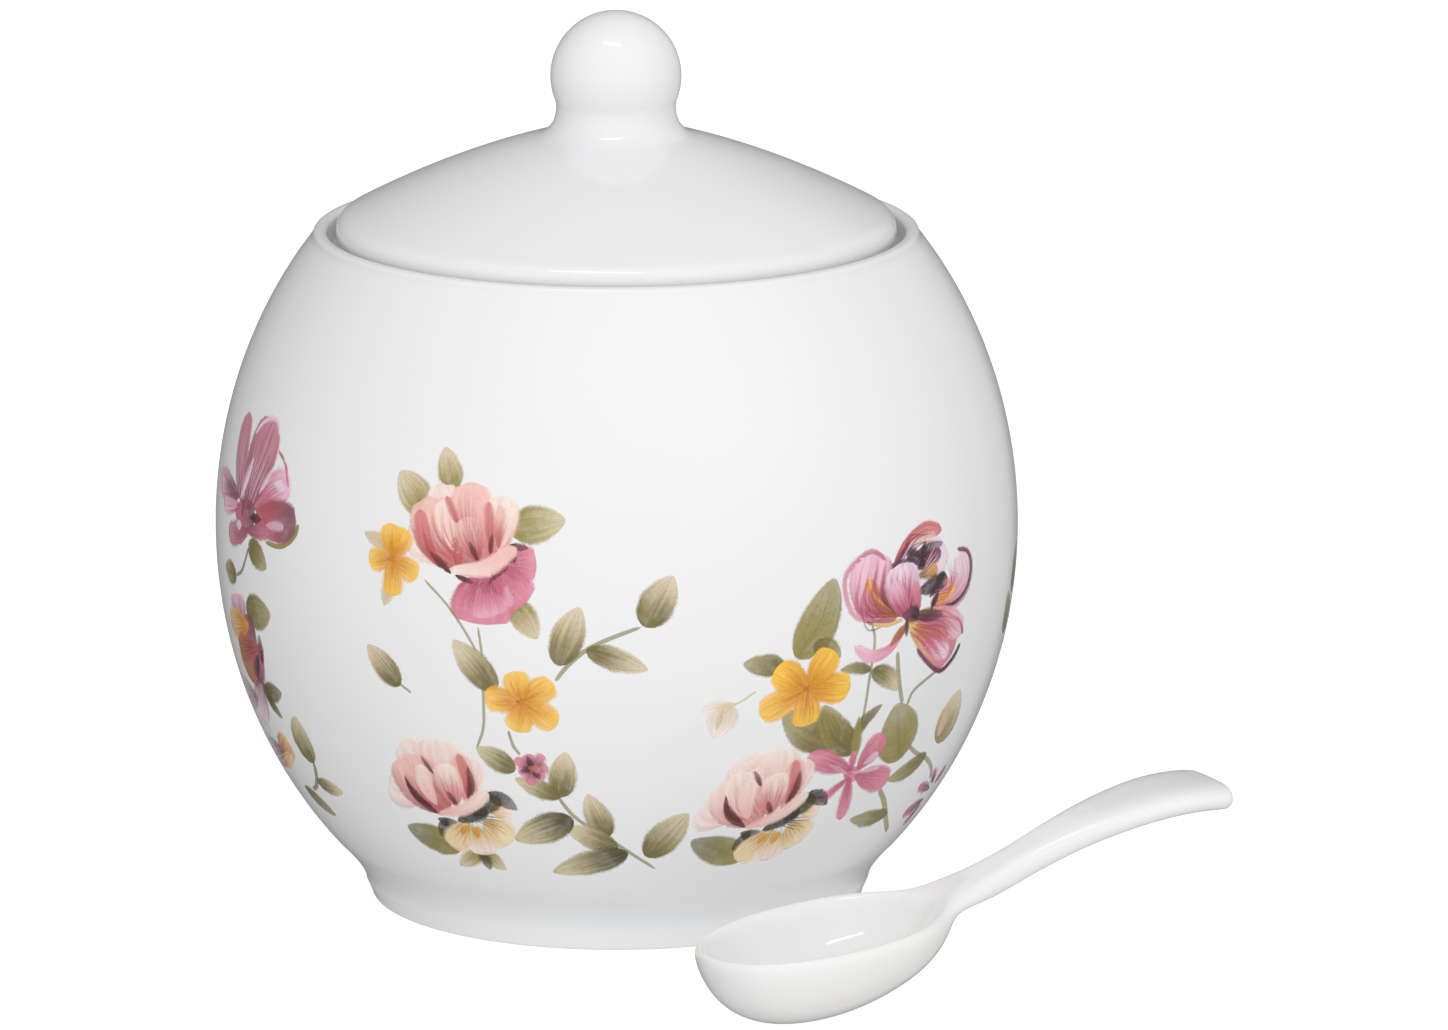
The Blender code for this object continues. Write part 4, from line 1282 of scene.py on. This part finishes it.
striped(pea_sheet, (2.6, 52.9), (-5.0, 51.4), 3.8, PEA)
striped(pea_sheet, (-2.4, 54.6), (4.4, 55.6), 4.6, (MAGENTA_DEEP, PLUM_SOFT), mark=fan_mark)
hatch(pea_sheet, (1.6, 55.8), (5.0, 68.0), 7.4, MAGENTA_PALE, 8, 0.5, strength=0.7)
hatch(pea_sheet, (1.4, 55.8), (4.6, 67.0), 6.0, PLUM_SOFT, 6, 0.45, strength=0.5)
hatch(pea_sheet, (0.0, 56.2), (-3.4, 67.2), 3.6, MAGENTA_PALE, 5, 0.45, sway=0.8, strength=0.6)
hatch(pea_sheet, (3.6, 56.6), (12.0, 61.6), 4.6, MAGENTA_DEEP, 6, 0.5, strength=0.6)
hatch(pea_sheet, (-1.0, 57.0), (-12.4, 57.2), 3.8, PLUM_SOFT, 6, 0.5, strength=0.6)
hatch(pea_sheet, (-0.8, 55.8), (-8.0, 54.8), 2.4, LILAC, 4, 0.4, strength=0.6)
striped(pea_sheet, (4.2, 55.0), (14.8, 56.2), 6.0, (ROSE_DEEP, PLUM_SOFT), sway=0.3, mark=fan_mark)
hatch(pea_sheet, (4.4, 55.0), (14.4, 56.2), 5.4, MAGENTA_DEEP, 8, 0.5, strength=0.6)
petal(pea_sheet, (7.4, 55.0), (12.0, 55.6), 1.6, (MAGENTA_PALE, LILAC), strength=0.6)
stem(pea_sheet, ((7.6, 52.8), (11.6, 53.0), (14.4, 54.8), (15.0, 56.6)), 0.8, OLIVE)
striped(pea_sheet, (1.8, 53.2), (8.6, 54.2), 2.4, PEA)
hatch(pea_sheet, (2.6, 52.9), (-4.6, 51.6), 3.0, MAGENTA_DEEP, 5, 0.45)
slit(pea_sheet, (-0.8, 56.6), (1.8, 62.8), 1.5, LILAC)
slit(pea_sheet, (4.8, 58.4), (8.0, 63.0), 1.0, LILAC)
slit(pea_sheet, (8.2, 60.6), (11.2, 60.4), 1.6, LILAC)
sweep(pea_sheet, stalk_mark, ((0.6, 65.4), (2.4, 67.4), (5.6, 68.2), (7.4, 66.4)), 1.0, LILAC, MAGENTA_PALE)
sweep(pea_sheet, stalk_mark, ((8.0, 64.8), (10.2, 63.4), (12.0, 60.6)), 0.7, MAGENTA_DEEP, MAGENTA_DEEP)
slit(pea_sheet, (-1.6, 53.2), (0.4, 53.6), 1.4, LILAC)
slit(pea_sheet, (2.8, 55.1), (6.4, 55.5), 1.2, PLUM)
slit(pea_sheet, (0.2, 54.6), (0.8, 58.0), 0.8, PLUM_SOFT)
striped(pea_sheet, (2.6, 42.0), (-3.4, 32.0), 7.0, (PLUM_SOFT, RUST), mark=fan_mark)
striped(pea_sheet, (2.4, 33.6), (-4.0, 26.0), 5.0, (PLUM_SOFT, LILAC), strength=0.8)
striped(pea_sheet, (-1.6, 40.0), (-2.4, 44.0), 6.6, (PLUM_SOFT, MAGENTA_PALE), mark=fan_mark)
striped(pea_sheet, (1.4, 40.6), (-7.4, 38.8), 4.8, (OCHRE, CREAM_DEEP))
striped(pea_sheet, (3.4, 38.0), (-5.0, 36.0), 4.0, (ROSE_DEEP, RUST))
striped(pea_sheet, (4.4, 38.6), (0.6, 32.6), 3.8, (MAGENTA_DEEP, PLUM_SOFT))
hatch(pea_sheet, (1.2, 40.4), (-7.0, 38.8), 4.0, RUST, 5, 0.5)
hatch(pea_sheet, (3.4, 38.0), (-4.8, 36.0), 3.4, SLIT, 5, 0.5)
slit(pea_sheet, (3.8, 35.6), (4.4, 40.0), 1.7)
slit(pea_sheet, (3.0, 37.0), (0.4, 33.0), 1.3, PLUM)
striped(pea_sheet, (-2.0, 30.0), (-13.0, 28.6), 5.4, (PLUM_SOFT, LILAC), strength=0.7)
striped(pea_sheet, (1.0, 23.0), (-8.6, 21.0), 5.0, (PLUM_SOFT, LILAC), strength=0.8)
striped(pea_sheet, (-1.0, 22.4), (4.4, 25.2), 4.2, (ROSE_DEEP, CREAM_DEEP))
striped(pea_sheet, (-3.6, 20.0), (3.2, 23.0), 2.2, (OCHRE, CREAM))
hatch(pea_sheet, (-0.6, 22.6), (4.2, 25.0), 3.4, RUST, 4, 0.45)
hatch(pea_sheet, (0.8, 23.0), (-8.2, 21.2), 4.0, PLUM_SOFT, 5, 0.5)
print("sweet pea spray:", len(pea_sheet), "marks")

# %% [markdown]
# ## Fourth sheet: a loose twig
#
# A few leaves on a curved stalk fill the wide gap between the tulip and the next sweet pea.

# %% Twig
twig_sheet = []
stem(twig_sheet, ((14.0, 26.0), (11.0, 31.0), (8.4, 36.0), (7.0, 42.0)), 0.6)
for foot, tip, width in (((6.9, 36.4), (4.2, 42.6), 4.2), ((7.2, 41.6), (9.4, 48.4), 4.2),
                         ((9.2, 34.4), (14.6, 38.0), 3.6), ((11.4, 30.4), (17.0, 32.0), 3.4)):
    leaf(twig_sheet, foot, tip, width, DARK_LEAF)
print("twig:", len(twig_sheet), "marks")

# %% [markdown]
# ## Paint for the marks
#
# One material paints every mark. Along a mark its colour runs from the foot's ink to the tip's.
# The brush leaves streaks along it, a leaf has a midrib, side veins and a little stipple, and the
# colour thins out at the edge, as it does when the transfer melts in. The group turns the mark's
# UV map into these masks, so they follow each mark however it is bent.


# %% Group: brush strokes
SEED_SPREAD = 53.0             # how far apart two marks lie in the noise
STREAKS_ALONG, STREAKS_ACROSS = 1.6, 11.0
BLOTS_ALONG, BLOTS_ACROSS = 5.0, 3.0


def build_brush_group():
    tree, inputs, outputs = new_group(
        "brush_strokes", {"Along": 0.0, "Across": 0.0, "Fade": 0.2, "Melt": 0.0, "Seed": 0.0},
        ("Cover", "Streaks", "Veins", "Wobble"))
    side = reckon(tree, "ABSOLUTE", reckon(tree, "MULTIPLY_ADD", inputs["Across"], 2.0, -1.0))
    seed = reckon(tree, "MULTIPLY", inputs["Seed"], SEED_SPREAD)
    lines = node(tree, "ShaderNodeCombineXYZ", {
        0: reckon(tree, "MULTIPLY", inputs["Along"], STREAKS_ALONG),
        1: reckon(tree, "MULTIPLY", inputs["Across"], STREAKS_ACROSS), 2: seed})
    streaks = node(tree, "ShaderNodeTexNoise", {"Vector": lines.outputs[0], "Scale": 1.0, "Detail": 3.0})
    blots = node(tree, "ShaderNodeCombineXYZ", {
        0: reckon(tree, "MULTIPLY", inputs["Along"], BLOTS_ALONG),
        1: reckon(tree, "MULTIPLY", inputs["Across"], BLOTS_ACROSS), 2: seed})
    wobble = node(tree, "ShaderNodeTexNoise", {"Vector": blots.outputs[0], "Scale": 1.0, "Detail": 2.0})
    stipple = node(tree, "ShaderNodeTexNoise", {"Vector": blots.outputs[0], "Scale": 9.0, "Detail": 1.0})
    mottle = reckon(tree, "SUBTRACT", stipple.outputs["Fac"], 0.5)
    rough = reckon(tree, "ADD", reckon(tree, "SUBTRACT", wobble.outputs["Fac"], 0.5), mottle)
    edge = reckon(tree, "MULTIPLY_ADD", rough, inputs["Fade"], side)
    start = reckon(tree, "SUBTRACT", 1.0, reckon(tree, "MULTIPLY", inputs["Fade"], 1.1))
    cover = ease(tree, edge, start, 1.0, 1.0, 0.0)
    nearest_end = reckon(tree, "MINIMUM", inputs["Along"], reckon(tree, "SUBTRACT", 1.0, inputs["Along"]))
    ends = ease(tree, nearest_end, 0.0, 0.04)
    midrib = ease(tree, side, 0.02, 0.12, 1.0, 0.0)
    slant = reckon(tree, "MULTIPLY_ADD", side, -1.4, reckon(tree, "MULTIPLY", inputs["Along"], 8.0))
    ribs = ease(tree, reckon(tree, "ABSOLUTE", reckon(tree, "SUBTRACT", reckon(tree, "FRACT", slant), 0.5)),
                0.0, 0.20, 0.7, 0.0)
    dots = ease(tree, stipple.outputs["Fac"], 0.62, 0.72, 0.0, 0.8)
    veins = reckon(tree, "MAXIMUM", reckon(tree, "MAXIMUM", midrib, ribs), dots)
    going = ease(tree, reckon(tree, "MULTIPLY_ADD", mottle, 1.2, inputs["Along"]), 0.35, 1.0)
    left = reckon(tree, "SUBTRACT", 1.0, reckon(tree, "MULTIPLY", going, inputs["Melt"]))
    cover = reckon(tree, "MULTIPLY", reckon(tree, "MULTIPLY", cover, ends), left)
    tree.links.new(cover, outputs["Cover"])
    tree.links.new(streaks.outputs["Fac"], outputs["Streaks"])
    tree.links.new(veins, outputs["Veins"])
    tree.links.new(wobble.outputs["Fac"], outputs["Wobble"])
    return tree


brush_group = build_brush_group()
print("group:", brush_group.name, "with", len(brush_group.nodes), "nodes")

# %% Onglaze colours material
VEIN_INK = ink(0.26, 0.26, 0.18)
STREAK_DEPTH = 0.55


def build_onglaze():
    material, tree, shader = new_material("onglaze_colours")
    uv = node(tree, "ShaderNodeSeparateXYZ", {0: node(tree, "ShaderNodeUVMap", uv_map="UVMap").outputs[0]})
    foot = node(tree, "ShaderNodeAttribute", attribute_name="foot_ink").outputs["Color"]
    tip = node(tree, "ShaderNodeAttribute", attribute_name="tip_ink").outputs["Color"]
    brushwork = node(tree, "ShaderNodeAttribute", attribute_name="brushwork")
    work = node(tree, "ShaderNodeSeparateColor", {0: brushwork.outputs["Color"]}).outputs
    edges = node(tree, "ShaderNodeAttribute", attribute_name="edges").outputs["Color"]
    edges = node(tree, "ShaderNodeSeparateColor", {0: edges}).outputs
    strokes = node(tree, "ShaderNodeGroup", {}, node_tree=brush_group)
    for name, value in (("Along", uv.outputs["X"]), ("Across", uv.outputs["Y"]), ("Fade", edges["Red"]),
                        ("Melt", edges["Green"]), ("Seed", brushwork.outputs["Alpha"])):
        tree.links.new(value, strokes.inputs[name])
    shift = reckon(tree, "MULTIPLY_ADD", strokes.outputs["Streaks"], 0.7, -0.35)
    reach = reckon(tree, "MULTIPLY_ADD", shift, work["Green"], uv.outputs["X"])
    colour = blend_colours(tree, ease(tree, reach, 0.08, 0.95), foot, tip)
    vein_share = reckon(tree, "MULTIPLY", reckon(tree, "MULTIPLY", strokes.outputs["Veins"], work["Red"]),
                        0.28)
    colour = blend_colours(tree, vein_share, colour, VEIN_INK)
    lightness = reckon(tree, "MULTIPLY_ADD", reckon(tree, "SUBTRACT", strokes.outputs["Streaks"], 0.5),
                       reckon(tree, "MULTIPLY", work["Green"], STREAK_DEPTH), 1.0)
    colour = node(tree, "ShaderNodeHueSaturation", {"Value": lightness, "Color": colour}).outputs["Color"]
    thin = ease(tree, strokes.outputs["Wobble"], 0.2, 0.6, 0.86, 1.0)
    alpha = reckon(tree, "MULTIPLY", reckon(tree, "MULTIPLY", strokes.outputs["Cover"], work["Blue"]), thin)
    roughness = ease(tree, strokes.outputs["Wobble"], 0.3, 0.7, 0.10, 0.17)
    tree.links.new(colour, shader.inputs["Base Color"])
    tree.links.new(alpha, shader.inputs["Alpha"])
    tree.links.new(roughness, shader.inputs["Roughness"])
    shader.inputs["IOR"].default_value = GLAZE_IOR
    return material


onglaze = build_onglaze()
print("material:", onglaze.name)

# %% [markdown]
# ## Wrapping the sheets on the bowl
#
# The marks of a sheet are joined and given a thickness, rather more than fired colour has, so
# that their lower faces lie below the marks or the glaze that they cover. The bowl curves both
# ways, so the sheet has to give, as a wet transfer does: every point keeps its height and its
# distance along the bowl from the sheet's middle line. A Bend modifier curves only one way and a
# Shrinkwrap stretches the sides, so the points are moved by that rule.

# %% Join a sheet
PRINT_THICKNESS = 0.00006      # of one mark, reaching down from its painted face


def join_sheet(marks, name):
    nothing_selected()
    for copy, _, _ in marks:
        copy.select_set(True)
    bpy.context.view_layer.objects.active = marks[0][0]
    bpy.ops.object.join()
    sheet = bpy.context.object
    sheet.name = name
    solid = sheet.modifiers.new("Colour", "SOLIDIFY")
    solid.thickness = PRINT_THICKNESS
    solid.offset = -1.0
    bpy.ops.object.modifier_apply(modifier="Colour")
    describe(sheet)
    return sheet


sheets = {
    "rose_spray": join_sheet(rose_sheet, "rose_sheet"),
    "tulip_spray": join_sheet(tulip_sheet, "tulip_sheet"),
    "sweet_pea_spray": join_sheet(pea_sheet, "sweet_pea_sheet"),
    "twig": join_sheet(twig_sheet, "twig_sheet"),
}


# %% Wrap a sheet on the bowl


def wrap(sheet, name, heading):
    """A copy of the sheet on the bowl, its middle line at heading degrees from the front."""
    spray = bpy.data.objects.new(name, sheet.data.copy())
    bpy.context.scene.collection.objects.link(spray)
    for vert in spray.data.vertices:
        across, height, lift = vert.co
        radius = egg_radius(height)
        turn = math.radians(heading) + across / radius
        slope = Vector((radius / BELLY_RADIUS ** 2, (height - BELLY_HEIGHT) / half_height(height) ** 2))
        slope.normalize()
        radius += slope.x * lift
        vert.co = (radius * math.sin(turn), -radius * math.cos(turn), height + slope.y * lift)
    spray.data.materials.clear()
    spray.data.materials.append(onglaze)
    spray.data.shade_smooth()
    spray.visible_diffuse = False
    spray.visible_shadow = False
    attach(spray, "bowl")
    describe(spray)
    return spray


HEADINGS = {"rose_spray": -16.4, "tulip_spray": 38.6, "sweet_pea_spray": -67.4, "twig": 73.0}
for kind, heading in HEADINGS.items():
    wrap(sheets[kind], kind + "_front", heading)
    wrap(sheets[kind], kind + "_back", heading + 180.0)

# %% Clear the table
for flat in (*sheets.values(), leaf_mark, petal_mark, fan_mark, slit_mark, stalk_mark):
    bpy.data.objects.remove(flat)
